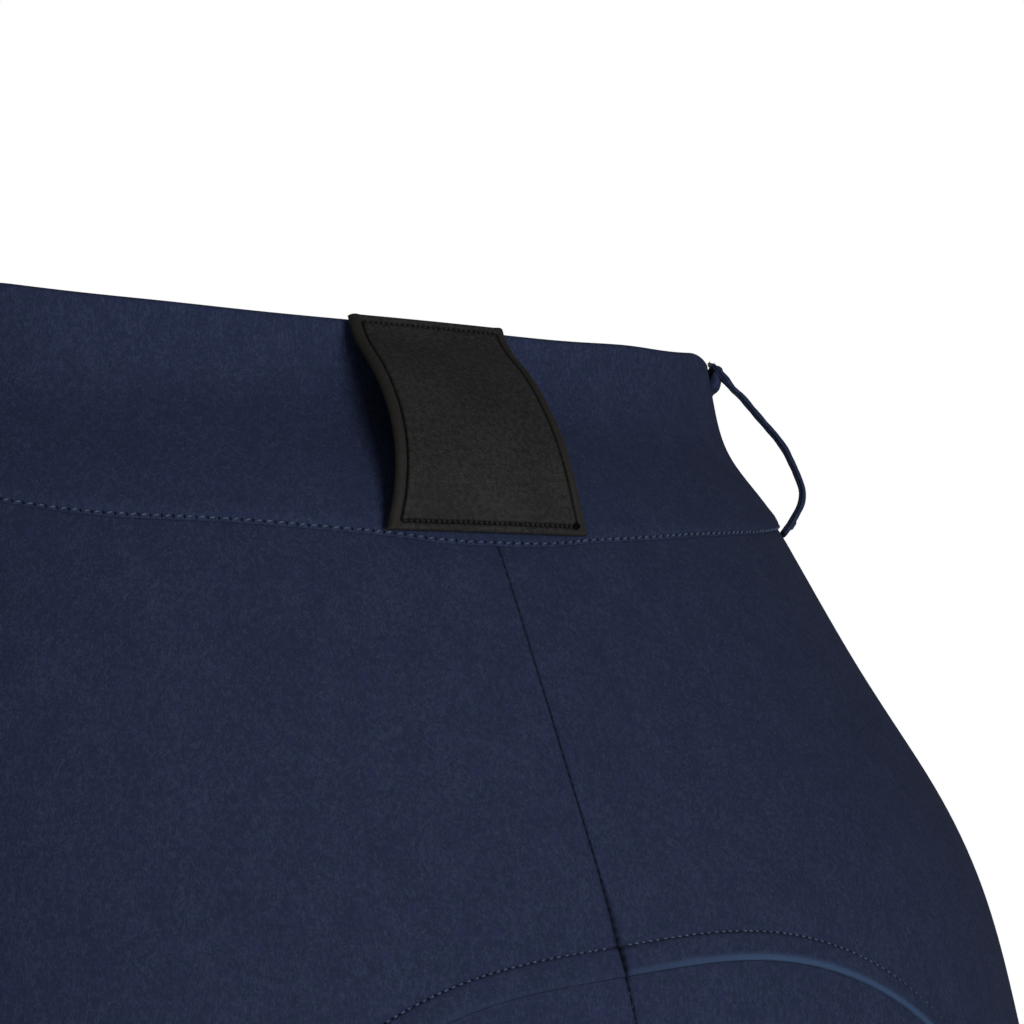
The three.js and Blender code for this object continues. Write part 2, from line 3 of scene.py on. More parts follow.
import bpy
import numpy as np
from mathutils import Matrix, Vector


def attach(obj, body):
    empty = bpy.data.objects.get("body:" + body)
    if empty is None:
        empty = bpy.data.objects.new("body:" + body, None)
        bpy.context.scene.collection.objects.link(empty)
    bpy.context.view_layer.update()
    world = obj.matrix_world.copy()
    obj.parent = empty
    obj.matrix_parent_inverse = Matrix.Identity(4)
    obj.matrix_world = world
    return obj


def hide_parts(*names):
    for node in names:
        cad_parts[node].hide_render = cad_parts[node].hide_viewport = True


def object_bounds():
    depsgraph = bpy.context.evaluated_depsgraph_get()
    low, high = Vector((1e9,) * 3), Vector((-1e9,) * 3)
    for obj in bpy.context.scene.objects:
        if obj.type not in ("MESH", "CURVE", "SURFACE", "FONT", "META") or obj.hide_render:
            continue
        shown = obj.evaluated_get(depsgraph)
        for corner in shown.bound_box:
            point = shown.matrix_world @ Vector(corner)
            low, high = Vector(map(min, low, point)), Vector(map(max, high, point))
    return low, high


# Riding breeches in the form they keep when worn. Lengths in the tables and the geometry are
# millimetres and become metres as each mesh is made. The front faces -Y, the wearer's left is +X.

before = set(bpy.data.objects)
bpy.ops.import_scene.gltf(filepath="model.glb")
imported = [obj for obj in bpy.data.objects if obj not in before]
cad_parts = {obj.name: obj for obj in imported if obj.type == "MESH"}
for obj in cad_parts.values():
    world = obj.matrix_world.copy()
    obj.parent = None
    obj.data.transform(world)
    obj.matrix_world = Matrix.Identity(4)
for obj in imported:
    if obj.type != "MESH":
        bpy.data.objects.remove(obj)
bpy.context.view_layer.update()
METRE = 0.001

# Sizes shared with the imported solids
PANEL_WALL = 1.5
BAND_WALL = 2.6
BAND_PROUD = 0.8
CUFF_WALL = 1.4
LAY_GAP = 0.35
SEAM_GAP = 0.3
CUFF_SEAM = -920
HEM = -985
BAND_TOP = {"back": -2.5, "rise": 13.5, "front_drop": 33.5, "side_drop": 5}
BAND_SEAM = {"back": -49.5, "rise": 16, "front_drop": 37, "side_drop": 0}
BAND_SIDE = {"from": 0.75, "to": 1.55}
TOP_PULL = {"depth": 1.8, "from": 0.74, "to": 0.99, "fade": 0.35, "lift": 0.7, "at": 0.38,
            "reach": 0.16, "left_share": 0.3}
BAND_DIP = {"depth": 3, "reach": 0.28, "point": 1.5, "point_reach": 0.06}
LEFT_SAG = {"depth": 2.2, "at": 0.58, "reach": 0.26}
SEAT_SEAM = {"back": -151.5, "fall": 270}
CLOSURE_LAP = 45
OVERLAP_RISE = BAND_WALL + LAY_GAP
LOOP = {"width": 8.4, "wall": 1.6, "top_inset": 2, "low_drop": 2.5, "twist": 0.1,
        "back_bow": 12, "front_bow": 11, "back_angle": 1.02, "front_angle": 2.45}
LABEL = {"top_half": 20.8, "low_half": 27, "flare": 3.8, "top_shift": 2, "low_shift": 3.2,
         "low_gap": 2, "leather": 1.6, "strip": 1, "strip_inset": 1.5, "bow": 10.5,
         "seat_gap": 0.5}
FLAP = {"right_edge": -11, "left_edge": 34, "length": 168, "wall": 1.5, "gap": 0.8,
        "corner_back": 20, "corner_from": 0.6, "corner_lift": 24, "stitch_inset": 4,
        "furrow": 0.3}

# Power of the sections: 2 would be ellipses, more is squarer.
SQUARENESS = 2.15

# Sections of one side: height, outside and inside from the centre plane, depth to the front and
# to the back, height of the widest place, and how far the two sides round into each other.
SECTIONS = np.array([
    (40, 120, -130, 98, 97, 0, 30),
    (10, 123.5, -130, 98, 97, 0, 30),
    (-10, 129.5, -133, 98, 94.5, 0, 30),
    (-24, 133.5, -137, 98, 101, 0, 30),
    (-36, 139, -141, 97.5, 112, 2, 30),
    (-48, 143, -145, 97, 121, 5, 30),
    (-70, 149, -148, 97, 133, 12, 30),
    (-110, 159.5, -147, 96.5, 150, 22, 30),
    (-150, 168.5, -137, 96, 162, 29, 32),
    (-190, 172.5, -114, 96, 165, 33, 36),
    (-220, 175, -66, 95, 160, 31, 33),
    (-245, 175, -14, 94, 145, 23, 20),
    (-265, 173, 10, 93, 127, 15, 10),
    (-290, 171, 14, 92, 113, 11, 7),
    (-340, 168, 17, 89, 100, 6, 4),
    (-410, 162, 21, 83, 85, 2, 3),
    (-490, 154, 27, 74, 66, -4, 2),
    (-550, 149, 33, 68, 53, -8, 2),
    (-610, 147, 38, 58, 57, -1, 2),
    (-680, 147, 40, 49, 68, 9, 2),
    (-760, 142, 46, 44, 59, 7, 2),
    (-840, 136, 54, 40, 46, 3, 2),
    (-920, 132, 60, 38, 38, 0, 2),
    (-990, 131, 61, 37, 37, 0, 2),
])

# Stance: height and sideways slope of the body there
STANCE = np.array([
    (50, -0.045), (10, -0.045), (-40, -0.015), (-85, 0.05), (-130, 0.13), (-190, 0.13),
    (-265, 0.1), (-390, 0.03), (-550, -0.03), (-750, -0.03), (-990, -0.01),
])

# Large folds, as in the solids: side, place round, height, reach, width, depth, slant
FOLDS = [
    (1, 0.74, -538, 0.2, 11, 3.2, 9),
    (1, 0.8, -566, 0.17, 12, 3.6, -5),
    (1, 0.7, -597, 0.15, 11, 2.6, 7),
    (1, 0.82, -866, 0.3, 12, 2.2, 8),
    (1, 0.3, -892, 0.34, 11, 2.4, -7),
    (-1, 0.78, -546, 0.22, 12, 3.4, 7),
    (-1, 0.7, -576, 0.16, 11, 2.8, -8),
    (-1, 0.82, -604, 0.13, 12, 2.4, 4),
    (-1, 0.74, -874, 0.32, 12, 2.5, -6),
    (-1, 0.28, -896, 0.3, 11, 2, 7),
]

# Small creases, given one by one in the same columns; a negative depth is a soft ridge.
CREASES = [
    (1, 0.66, -520, 0.12, 5, 0.9, -7),
    (1, 0.86, -551, 0.1, 4, 1.1, 4),
    (1, 0.69, -581, 0.11, 4.5, 1.0, 6),
    (1, 0.78, -612, 0.1, 5, 0.8, -4),
    (1, 0.34, -556, 0.12, 7, 0.9, 5),
    (1, 0.28, -583, 0.09, 6, 0.6, -4),
    (1, 0.08, -268, 0.1, 6, 1.3, 16),
    (1, 0.1, -289, 0.13, 7, 1.1, 21),
    (1, 0.07, -312, 0.09, 6, 0.8, 14),
    (1, 0.93, -291, 0.09, 7, 1.1, 13),
    (1, 0.9, -316, 0.12, 8, 0.9, 18),
    (1, 0.8, -241, 0.16, 16, 1.1, 9),
    (1, 0.12, -206, 0.1, 8, 0.5, 12),
    (1, 0.62, -856, 0.16, 6, 1.2, 6),
    (1, 0.9, -884, 0.12, 5, 1.3, -5),
    (1, 0.45, -905, 0.2, 5, 1.1, 4),
    (1, 0.15, -868, 0.13, 6, 1.0, 5),
    (-1, 0.68, -528, 0.11, 5, 0.9, 6),
    (-1, 0.84, -563, 0.12, 4.5, 1.2, -6),
    (-1, 0.74, -592, 0.09, 4, 0.9, 5),
    (-1, 0.66, -617, 0.13, 6, 0.7, -3),
    (-1, 0.36, -562, 0.1, 6, 0.8, -6),
    (-1, 0.3, -541, 0.12, 8, 0.7, 4),
    (-1, 0.09, -273, 0.12, 6, 1.2, 19),
    (-1, 0.07, -298, 0.09, 6.5, 1.0, 13),
    (-1, 0.92, -284, 0.1, 7, 1.0, 15),
    (-1, 0.94, -309, 0.08, 6, 0.8, 9),
    (-1, 0.78, -249, 0.14, 15, 0.9, 7),
    (-1, 0.64, -862, 0.14, 6, 1.0, -7),
    (-1, 0.88, -889, 0.14, 5, 1.2, 5),
    (-1, 0.5, -901, 0.22, 6, 1.0, -5),
    (-1, 0.18, -873, 0.12, 5, 1.1, -4),
]

# Camera: seen from behind on the wearer's left, a little from below, from 2.2 m
CAMERA = {"azimuth": 145, "elevation": -3, "distance": 2200, "right": 72.5, "up": -41,
          "lens": 325.3, "sensor": 36}


class Curve:
    """Natural cubic through the rows of a table, read at any height."""

    def __init__(self, z, v):
        order = np.argsort(z)
        self.z = np.asarray(z, float)[order]
        self.v = np.asarray(v, float)[order]
        n = len(self.z)
        h = np.diff(self.z)
        rise = np.diff(self.v) / h
        grid = np.eye(n)
        right = np.zeros(n)
        for i in range(1, n - 1):
            grid[i, i - 1:i + 2] = h[i - 1], 2 * (h[i - 1] + h[i]), h[i]
            right[i] = 6 * (rise[i] - rise[i - 1])
        self.bend = np.linalg.solve(grid, right)

    def __call__(self, height):
        q = np.clip(np.asarray(height, float), self.z[0], self.z[-1])
        i = np.clip(np.searchsorted(self.z, q) - 1, 0, len(self.z) - 2)
        h = self.z[i + 1] - self.z[i]
        a = (self.z[i + 1] - q) / h
        b = (q - self.z[i]) / h
        curve = (a ** 3 - a) * self.bend[i] + (b ** 3 - b) * self.bend[i + 1]
        return a * self.v[i] + b * self.v[i + 1] + curve * h * h / 6


SECTION_CURVES = [Curve(SECTIONS[:, 0], SECTIONS[:, k]) for k in range(1, SECTIONS.shape[1])]
slope_at = Curve(STANCE[:, 0], STANCE[:, 1])
SHIFT_REACH = (-1010, 60)
SHIFT_Z = np.linspace(*SHIFT_REACH, 1 + SHIFT_REACH[1] - SHIFT_REACH[0])
SHIFT_SLOPE = slope_at(SHIFT_Z)
SHIFT_SUM = np.concatenate([[0], np.cumsum((SHIFT_SLOPE[1:] + SHIFT_SLOPE[:-1]) / 2)])
SHIFT_SUM -= np.interp(0, SHIFT_Z, SHIFT_SUM)


def signed_power(value, power):
    return np.sign(value) * np.abs(value) ** power


def smooth(x):
    x = np.clip(x, 0, 1)
    return x * x * (3 - 2 * x)


def bump(x, width):
    return np.exp(-(x / width) ** 2)


def unit(vectors_given):
    return vectors_given / np.linalg.norm(vectors_given, axis=-1, keepdims=True)


def run_along(points):
    """Distance in mm along a row of points, from the first to each of them."""
    steps = np.linalg.norm(np.diff(points, axis=0), axis=1)
    return np.concatenate([[0], np.cumsum(steps)])


def section(z):
    half, inner, front, back, mid, bridge = (curve(z) for curve in SECTION_CURVES)
    reach = np.hypot(half, bridge)
    centre = (reach + inner) / 2
    radius = (reach - inner) / 2
    end = np.arccos(signed_power(np.clip((bridge - centre) / radius, -1, 1), SQUARENESS / 2))
    return centre, radius, end, mid, bridge, mid + front, back - mid


def upright(u, z):
    """Point of the straight form on the +X side; u runs from the centre front to the back."""
    centre, radius, end, mid, bridge, front, back = section(z)
    turn = end * (2 * u - 1)
    across = centre + radius * signed_power(np.cos(turn), 2 / SQUARENESS)
    x = np.sqrt(np.maximum(across ** 2 - bridge ** 2, 0))
    depth = np.where(turn < 0, front, back)
    return x, mid + depth * signed_power(np.sin(turn), 2 / SQUARENESS)


def outside_level(x, y, z):
    centre, radius, end, mid, bridge, front, back = section(z)
    across = (np.hypot(x, bridge) - centre) / radius
    along = np.where(y < mid, (mid - y) / front, (y - mid) / back)
    return np.abs(across) ** SQUARENESS + along ** SQUARENESS


def fold_depth(side, u, z, folds):
    depth = np.zeros(np.broadcast(side, u, z).shape)
    for fold_side, place, height, reach, width, deep, slant in folds:
        along = (u - place) / reach
        across = (z - height - slant * along) / width
        on = (side == fold_side) & (np.abs(along) < 1)
        depth += np.where(on, deep * np.cos(along * np.pi / 2) ** 2 * np.exp(-across ** 2), 0)
    return depth


def worn(side, u, z, out=0.0, creased=True):
    """Points and normals of the worn form, moved out along the normal."""
    side, u, z, out = np.broadcast_arrays(*(np.asarray(v, float) for v in (side, u, z, out)))
    x, y = upright(u, z)
    step = 0.5
    nx = outside_level(x + step, y, z) - outside_level(x - step, y, z)
    ny = outside_level(x, y + step, z) - outside_level(x, y - step, z)
    nz = outside_level(x, y, z + step) - outside_level(x, y, z - step)
    size = np.sqrt(nx ** 2 + ny ** 2 + nz ** 2)
    nx, ny, nz = nx / size * side, ny / size, nz / size
    x = x * side
    slope = slope_at(z)
    turn_rate = (slope_at(z + 1) - slope_at(z - 1)) / 2
    lift = 1 - x * turn_rate
    normal = np.stack([lift * nx + slope * nz, ny * (lift + slope ** 2), nz - slope * nx], -1)
    normal = unit(normal)
    point = np.stack([x + np.interp(z, SHIFT_Z, SHIFT_SUM), y, z - x * slope], -1)
    depth = fold_depth(side, u, z, FOLDS)
    if creased:
        depth = depth + fold_depth(side, u, z, CREASES)
    return point + normal * (out - depth)[..., None], normal


def around(angle):
    """Side and place round for an angle from the centre back, past the centre front too."""
    angle = np.asarray(angle, float)
    wrapped = np.where(np.abs(angle) > np.pi, angle - np.sign(angle) * 2 * np.pi, angle)
    return np.where(wrapped >= 0, 1.0, -1.0), 1 - np.abs(wrapped) / np.pi


def at_distance(distance, z, back):
    """Place round, on the back or front, by the distance from the centre plane."""
    centre, radius, end, _, bridge, _, _ = section(z)
    across = (np.hypot(distance, bridge) - centre) / radius
    turn = np.arccos(np.clip(signed_power(across, SQUARENESS / 2), -1, 1))
    return (1 + turn / end) / 2 if back else (1 - turn / end) / 2


def band_edge(edge, angle):
    cosine = np.cos(angle)
    frontness = np.maximum(0, -cosine)
    sideness = smooth((np.abs(angle) - BAND_SIDE["from"]) / (BAND_SIDE["to"] - BAND_SIDE["from"]))
    rise = edge["rise"] * (1 - cosine) - edge["side_drop"] * sideness
    return edge["back"] + rise - edge["front_drop"] * frontness ** 2


def band_top(u, side=-1.0):
    """Height of the band's top edge, which the belt loops at the back pull down a little."""
    angle = np.pi * (1 - u)
    pull = smooth((angle - TOP_PULL["from"]) / (TOP_PULL["to"] - TOP_PULL["from"]))
    pull = pull - smooth((angle - TOP_PULL["to"]) / TOP_PULL["fade"])
    lift = TOP_PULL["lift"] * bump(angle - TOP_PULL["at"], TOP_PULL["reach"])
    lift = lift * np.where(np.asarray(side) > 0, TOP_PULL["left_share"], 1.0)
    return band_edge(BAND_TOP, angle) - TOP_PULL["depth"] * pull + lift


def band_seam(u, side=-1.0):
    """Height of the band's seam; on the left side it sags a little behind the hip."""
    angle = np.pi * (1 - u)
    dip = BAND_DIP["depth"] * bump(angle, BAND_DIP["reach"])
    dip += BAND_DIP["point"] * bump(angle, BAND_DIP["point_reach"])
    sag = LEFT_SAG["depth"] * bump(angle - LEFT_SAG["at"], LEFT_SAG["reach"])
    return band_edge(BAND_SEAM, angle) - dip - np.where(np.asarray(side) > 0, sag, 0.0)


def seat_seam(u):
    return SEAT_SEAM["back"] - SEAT_SEAM["fall"] * (1 - np.abs(np.cos(np.pi * u)))


# Edges and stitch lines of the seams
EDGE_LINES = (0, 0.08, 0.22, 0.42, 0.7, 1.1, 1.7, 2.6, 4.0, 6.0)
TURNED_LINES = (0, 0.06, 0.18, 0.38, 0.65, 1.0, 1.5, 2.2, 3.2, 4.4, 5.4, 6.1, 6.5, 6.8, 7.0, 7.2,
                7.5, 7.9, 8.6, 9.8, 11.5)
SEAT_STITCH = 7.0


def shares(length, count, first, last):
    """Shares of a length: lines at set distances from both ends, evenly spaced between them."""
    length = np.asarray(length, float)[:, None]
    start = np.array(first)[None, :] / length
    end = 1 - np.array(last)[None, ::-1] / length
    gap = np.linspace(0, 1, count + 2)[None, 1:-1]
    middle = start[:, -1:] + (end[:, :1] - start[:, -1:]) * gap
    return np.concatenate([start, middle, end], 1)


def eased(share):
    """Shares crowded towards both ends, where the form turns fastest for its parameter."""
    return (1 - np.cos(np.pi * share)) / 2


def patch(place, columns, rows, left=EDGE_LINES, right=EDGE_LINES, top=EDGE_LINES,
          low=EDGE_LINES):
    """Grid of a patch whose lines keep set distances in mm from its edges.

    place(s, t) gives the parameters of a point and the point. Returns s, t and, for each grid
    point, the distances in mm from the left, right, top and lower edges.
    """
    coarse = 81
    s0 = np.linspace(0, 1, coarse)
    t0 = np.linspace(0, 1, 2 * coarse)
    grid = place(*np.meshgrid(eased(s0), t0))
    across = np.linalg.norm(np.diff(grid, axis=1), axis=-1)
    down = np.linalg.norm(np.diff(grid, axis=0), axis=-1)
    across = np.concatenate([np.zeros((len(t0), 1)), np.cumsum(across, 1)], 1)
    down = np.concatenate([np.zeros((1, coarse)), np.cumsum(down, 0)], 0)
    width, height = across[:, -1], down[-1]
    s_share = shares(width, columns, left, right)
    t_share = shares(height, rows, top, low)
    s_lines = np.array([np.interp(s_share[i], across[i] / width[i], s0) for i in range(len(t0))])
    t_lines = np.array([np.interp(t_share[j], down[:, j] / height[j], t0) for j in range(coarse)])
    n_rows, n_columns = t_lines.shape[1], s_lines.shape[1]
    s = np.tile(np.linspace(0, 1, n_columns), (n_rows, 1))
    for _ in range(4):
        t = np.array([np.interp(s[r], s0, t_lines[:, r]) for r in range(n_rows)])
        s = np.array([np.interp(t[:, c], t0, s_lines[:, c]) for c in range(n_columns)]).T
    wide = np.interp(t, t0, width)
    tall = np.interp(s, s0, height)
    s_part = np.array([np.interp(t[:, c], t0, s_share[:, c]) for c in range(n_columns)]).T
    t_part = np.array([np.interp(s[r], s0, t_share[:, r]) for r in range(n_rows)])
    return eased(s), t, s_part * wide, (1 - s_part) * wide, t_part * tall, (1 - t_part) * tall


def rounded(distance, radius):
    """How far an edge rounded to a radius lies below the face at a distance from the edge."""
    near = np.clip(1 - distance / radius, 0, 1)
    return radius * (1 - np.sqrt(1 - near ** 2))


def mesh_piece(name, points, faces, material, attributes=None):
    """Object from points in mm; attributes are float vectors for each corner of the faces."""
    mesh = bpy.data.meshes.new(name)
    mesh.from_pydata((np.asarray(points) * METRE).tolist(), [], faces.tolist())
    mesh.shade_smooth()
    for key, values in (attributes or {}).items():
        layer = mesh.attributes.new(key, "FLOAT_VECTOR", "CORNER")
        layer.data.foreach_set("vector", np.asarray(values, np.float32).ravel())
    mesh.materials.append(material)
    piece = bpy.data.objects.new(name, mesh)
    bpy.context.scene.collection.objects.link(piece)
    return piece


def shell(name, outer, inner, material, attributes=None, ring=False):
    """Closed wall between an outside and an inside grid; ring joins its two ends.

    attributes are grids of vectors, one column longer than the points where it is a ring.
    """
    rows, columns = outer.shape[:2]
    points = np.concatenate([outer.reshape(-1, 3), inner.reshape(-1, 3)])
    spans = columns if ring else columns - 1
    r, c = (a.ravel() for a in np.meshgrid(np.arange(rows - 1), np.arange(spans), indexing="ij"))
    corners = [(r, c), (r + 1, c), (r + 1, c + 1), (r, c + 1)]
    layers = [(0, corners), (1, corners[::-1])]
    c = np.arange(spans)
    top, low = np.zeros_like(c), np.full_like(c, rows - 1)
    layers.append((None, [(0, top, c), (0, top, c + 1), (1, top, c + 1), (1, top, c)]))
    layers.append((None, [(0, low, c), (1, low, c), (1, low, c + 1), (0, low, c + 1)]))
    if not ring:
        r = np.arange(rows - 1)
        left, right = np.zeros_like(r), np.full_like(r, columns - 1)
        layers.append((None, [(0, r, left), (1, r, left), (1, r + 1, left), (0, r + 1, left)]))
        layers.append((None, [(0, r, right), (0, r + 1, right), (1, r + 1, right), (1, r, right)]))
    faces, spots = [], []
    for layer, corner in layers:
        full = [(layer, *k) if layer is not None else k for k in corner]
        faces.append(np.stack([(k * rows + i) * columns + j % columns for k, i, j in full], 1))
        spots.append(np.stack([i * (columns + 1) + j for k, i, j in full], 1))
    faces, spots = np.concatenate(faces), np.concatenate(spots)
    volume = np.einsum("ij,ij->i", np.cross(points[faces[:, 0]], points[faces[:, 1]]),
                       points[faces[:, 2]]).sum()
    volume += np.einsum("ij,ij->i", np.cross(points[faces[:, 0]], points[faces[:, 2]]),
                        points[faces[:, 3]]).sum()
    if volume < 0:
        faces, spots = faces[:, ::-1], spots[:, ::-1]
    values = {}
    for key, grid in (attributes or {}).items():
        wide = grid if grid.shape[1] == columns + 1 else np.pad(grid, ((0, 0), (0, 1), (0, 0)))
        values[key] = wide.reshape(-1, 3)[spots.ravel()]
    return mesh_piece(name, points, faces, material, values)


def vectors(x, y, z=0.0):
    return np.stack(np.broadcast_arrays(x, y, z), -1).astype(float)


FAR = 99.0


def finish_piece(piece, replaces=None):
    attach(piece, "root")
    if replaces:
        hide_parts(replaces)
    return piece


# Materials


def node(tree, kind, inputs=None, **settings):
    made = tree.nodes.new(kind)
    for key, value in settings.items():
        setattr(made, key, value)
    for key, value in (inputs or {}).items():
        if isinstance(value, bpy.types.NodeSocket):
            tree.links.new(value, made.inputs[key])
        else:
            made.inputs[key].default_value = value
    return made


def maths(tree, operation, *values, clamp=False):
    made = node(tree, "ShaderNodeMath", dict(enumerate(values)), operation=operation)
    made.use_clamp = clamp
    return made.outputs[0]


def scaled(tree, vector, x, y, z=0.0):
    made = node(tree, "ShaderNodeVectorMath", {0: vector, 1: (x, y, z)}, operation="MULTIPLY")
    return made.outputs[0]


def noise(tree, vector, detail=2.0, roughness=0.5):
    made = node(tree, "ShaderNodeTexNoise",
                {"Vector": vector, "Scale": 1.0, "Detail": detail, "Roughness": roughness})
    return made.outputs[0]


def mapped(tree, value, low, high, to_low, to_high):
    made = node(tree, "ShaderNodeMapRange", {"Value": value, "From Min": low, "From Max": high,
                                             "To Min": to_low, "To Max": to_high})
    return made.outputs["Result"]


def mixed(tree, factor, first, second):
    made = node(tree, "ShaderNodeMix", {0: factor}, data_type="RGBA")
    for name, value in (("A_Color", first), ("B_Color", second)):
        socket = next(s for s in made.inputs if s.identifier == name)
        if isinstance(value, bpy.types.NodeSocket):
            tree.links.new(value, socket)
        else:
            socket.default_value = (*value, 1.0)
    return next(s for s in made.outputs if s.identifier == "Result_Color")


def new_material(name, **constants):
    made = bpy.data.materials.new(name)
    made.use_nodes = True
    shader = made.node_tree.nodes["Principled BSDF"]
    for key, value in constants.items():
        shader.inputs[key.replace("_", " ")].default_value = value
    return made, made.node_tree, shader


THREAD_HOLE = 0.26
SEAM_BEAD = 2.3
# Lighter blue of the painted highlight along the folded edge of the lapped seat seam
PAINTED_HIGHLIGHT_BLUE = (0.026, 0.045, 0.090)
TINT = (0.0175, 0.0185, 0.0580)
# Near black of the painted shade in needle holes and seam grooves
SEAM_SHADE = (0.002, 0.003, 0.006)
GRAIN_DEPTH = 0.18 * METRE
PLY_DEPTH = 0.1 * METRE


def attribute(tree, name):
    return node(tree, "ShaderNodeAttribute", attribute_name=name).outputs["Vector"]


def parts_of(tree, vector):
    return node(tree, "ShaderNodeSeparateXYZ", {0: vector}).outputs


def object_place(tree):
    return node(tree, "ShaderNodeTexCoord").outputs["Object"]


def add_bump(tree, shader, height, strength, distance):
    made = node(tree, "ShaderNodeBump",
                {"Strength": strength, "Distance": distance, "Height": height})
    tree.links.new(made.outputs[0], shader.inputs["Normal"])


def needle_holes(tree, run, off, pitch, radius):
    """Painted shade: dark round spots for the needle holes at a pitch along a stitch line."""
    part = maths(tree, "SUBTRACT", maths(tree, "FRACT", maths(tree, "DIVIDE", run, pitch)), 0.5)
    part = maths(tree, "MULTIPLY", part, pitch)
    squared = maths(tree, "ADD", maths(tree, "MULTIPLY", part, part),
                    maths(tree, "MULTIPLY", off, off))
    return mapped(tree, maths(tree, "SQRT", squared), radius * 0.6, radius * 1.7, 1, 0)


def cloth_material(name, dark, light, thread_size, twill=0.55, pitch=2.0):
    """Heathered stretch twill: yarn-sized flecks, faint lengthwise streaks and a fine diagonal."""
    made, tree, shader = new_material(name, Roughness=0.95, Specular_IOR_Level=0.06)
    x, y, highlight = parts_of(tree, attribute(tree, "cloth_mm"))
    spot = object_place(tree)

    def cloth_noise(round_it, along, detail, roughness):
        sizes = [share / METRE for share in (round_it, round_it, along)]
        return noise(tree, scaled(tree, spot, *sizes), detail, roughness)

    fleck = cloth_noise(1 / thread_size, 0.7 / thread_size, 2.0, 0.65)
    streak = cloth_noise(1.1 / thread_size, 0.16 / thread_size, 1.0, 0.5)
    mottle = cloth_noise(0.85, 0.62, 2.0, 0.6)
    cloud = cloth_noise(0.12, 0.07, 3.0, 0.6)
    tint = cloth_noise(0.45, 0.3, 3.0, 0.7)
    diagonal = maths(tree, "ADD", x, maths(tree, "MULTIPLY", y, 0.8))
    line = maths(tree, "SINE", maths(tree, "MULTIPLY", diagonal, 2 * math.pi / twill))
    tone = maths(tree, "ADD", mapped(tree, fleck, 0.3, 0.7, -0.3, 0.76),
                 mapped(tree, streak, 0.35, 0.65, -0.2, 0.2))
    tone = maths(tree, "ADD", tone, maths(tree, "MULTIPLY", line, 0.05))
    tone = maths(tree, "ADD", tone, mapped(tree, mottle, 0.3, 0.7, -0.36, 0.36))
    tone = maths(tree, "ADD", tone, mapped(tree, cloud, 0.3, 0.7, -0.16, 0.16), clamp=True)
    colour = mixed(tree, tone, dark, light)
    colour = mixed(tree, mapped(tree, tint, 0.5, 0.75, 0, 0.6), colour, TINT)
    # Painted highlight: the third value of cloth_mm mixes in the lighter blue along the lap's
    # folded edge
    colour = mixed(tree, highlight, colour, PAINTED_HIGHLIGHT_BLUE)
    # Painted shade: needle holes and the seam grooves, beaded along the seam, turn near black
    run, off, groove = parts_of(tree, attribute(tree, "stitch_mm"))
    hole = needle_holes(tree, run, off, pitch, THREAD_HOLE)
    beads = maths(tree, "SINE", maths(tree, "MULTIPLY", y, 2 * math.pi / SEAM_BEAD))
    groove = maths(tree, "MULTIPLY", groove, mapped(tree, beads, -1, 1, 0.6, 1))
    colour = mixed(tree, maths(tree, "MAXIMUM", hole, groove), colour, SEAM_SHADE)
    tree.links.new(colour, shader.inputs["Base Color"])
    height = maths(tree, "ADD", fleck, maths(tree, "MULTIPLY", line, 0.08))
    height = maths(tree, "ADD", height, maths(tree, "MULTIPLY", mottle, 0.8))
    height = maths(tree, "SUBTRACT", height, maths(tree, "MULTIPLY", hole, 2.0))
    add_bump(tree, shader, height, 0.35, GRAIN_DEPTH)
    return made


LABEL_PITCH = 1.4
LABEL_HOLE = 0.42


def leather_material():
    """Matt black leather with a fine pebbled grain."""
    made, tree, shader = new_material("leather", Roughness=0.62, Specular_IOR_Level=0.07)
    place = attribute(tree, "cloth_mm")
    run, off, groove = parts_of(tree, attribute(tree, "stitch_mm"))
    hole = needle_holes(tree, run, off, LABEL_PITCH, LABEL_HOLE)
    edge = parts_of(tree, place)[2]
    flat = scaled(tree, place, 1, 1)
    grain = noise(tree, scaled(tree, flat, 2.6, 2.6), 3.0, 0.6)
    cells = node(tree, "ShaderNodeTexVoronoi", {"Vector": scaled(tree, flat, 1.9, 1.9),
                                                "Scale": 1.0}).outputs["Distance"]
    cloud = noise(tree, scaled(tree, flat, 0.06, 0.06), 2.0)
    blotch = noise(tree, scaled(tree, flat, 0.8, 0.8), 2.0, 0.6)
    tone = maths(tree, "ADD", mapped(tree, grain, 0.3, 0.7, -0.2, 1.0),
                 mapped(tree, cloud, 0.3, 0.7, -0.2, 0.2))
    tone = maths(tree, "ADD", tone, mapped(tree, blotch, 0.3, 0.7, -0.45, 0.45), clamp=True)
    colour = mixed(tree, tone, (0.0085, 0.0085, 0.0085), (0.0210, 0.0210, 0.0205))
    colour = mixed(tree, maths(tree, "MULTIPLY", edge, 0.7), colour, (0.0130, 0.0124, 0.0110))
    # Painted shade: the needle holes and the stitched grooves turn near black
    colour = mixed(tree, maths(tree, "MAXIMUM", hole, groove), colour, (0.001, 0.001, 0.001))
    tree.links.new(colour, shader.inputs["Base Color"])
    tree.links.new(mapped(tree, grain, 0.3, 0.7, 0.55, 0.72), shader.inputs["Roughness"])
    height = maths(tree, "ADD", grain, maths(tree, "MULTIPLY", cells, 0.5))
    add_bump(tree, shader, height, 0.45, GRAIN_DEPTH)
    return made


def thread_material(name, colour, shade, gloss=0.3):
    """Twisted thread: two tones along its length."""
    made, tree, shader = new_material(name, Roughness=0.6, Specular_IOR_Level=gloss)
    ply = noise(tree, scaled(tree, attribute(tree, "cloth_mm"), 3.1, 3.1, 3.1), 2.0)
    tree.links.new(mixed(tree, mapped(tree, ply, 0.35, 0.65, 0, 1), shade, colour),
                   shader.inputs["Base Color"])
    add_bump(tree, shader, ply, 0.3, PLY_DEPTH)
    return made


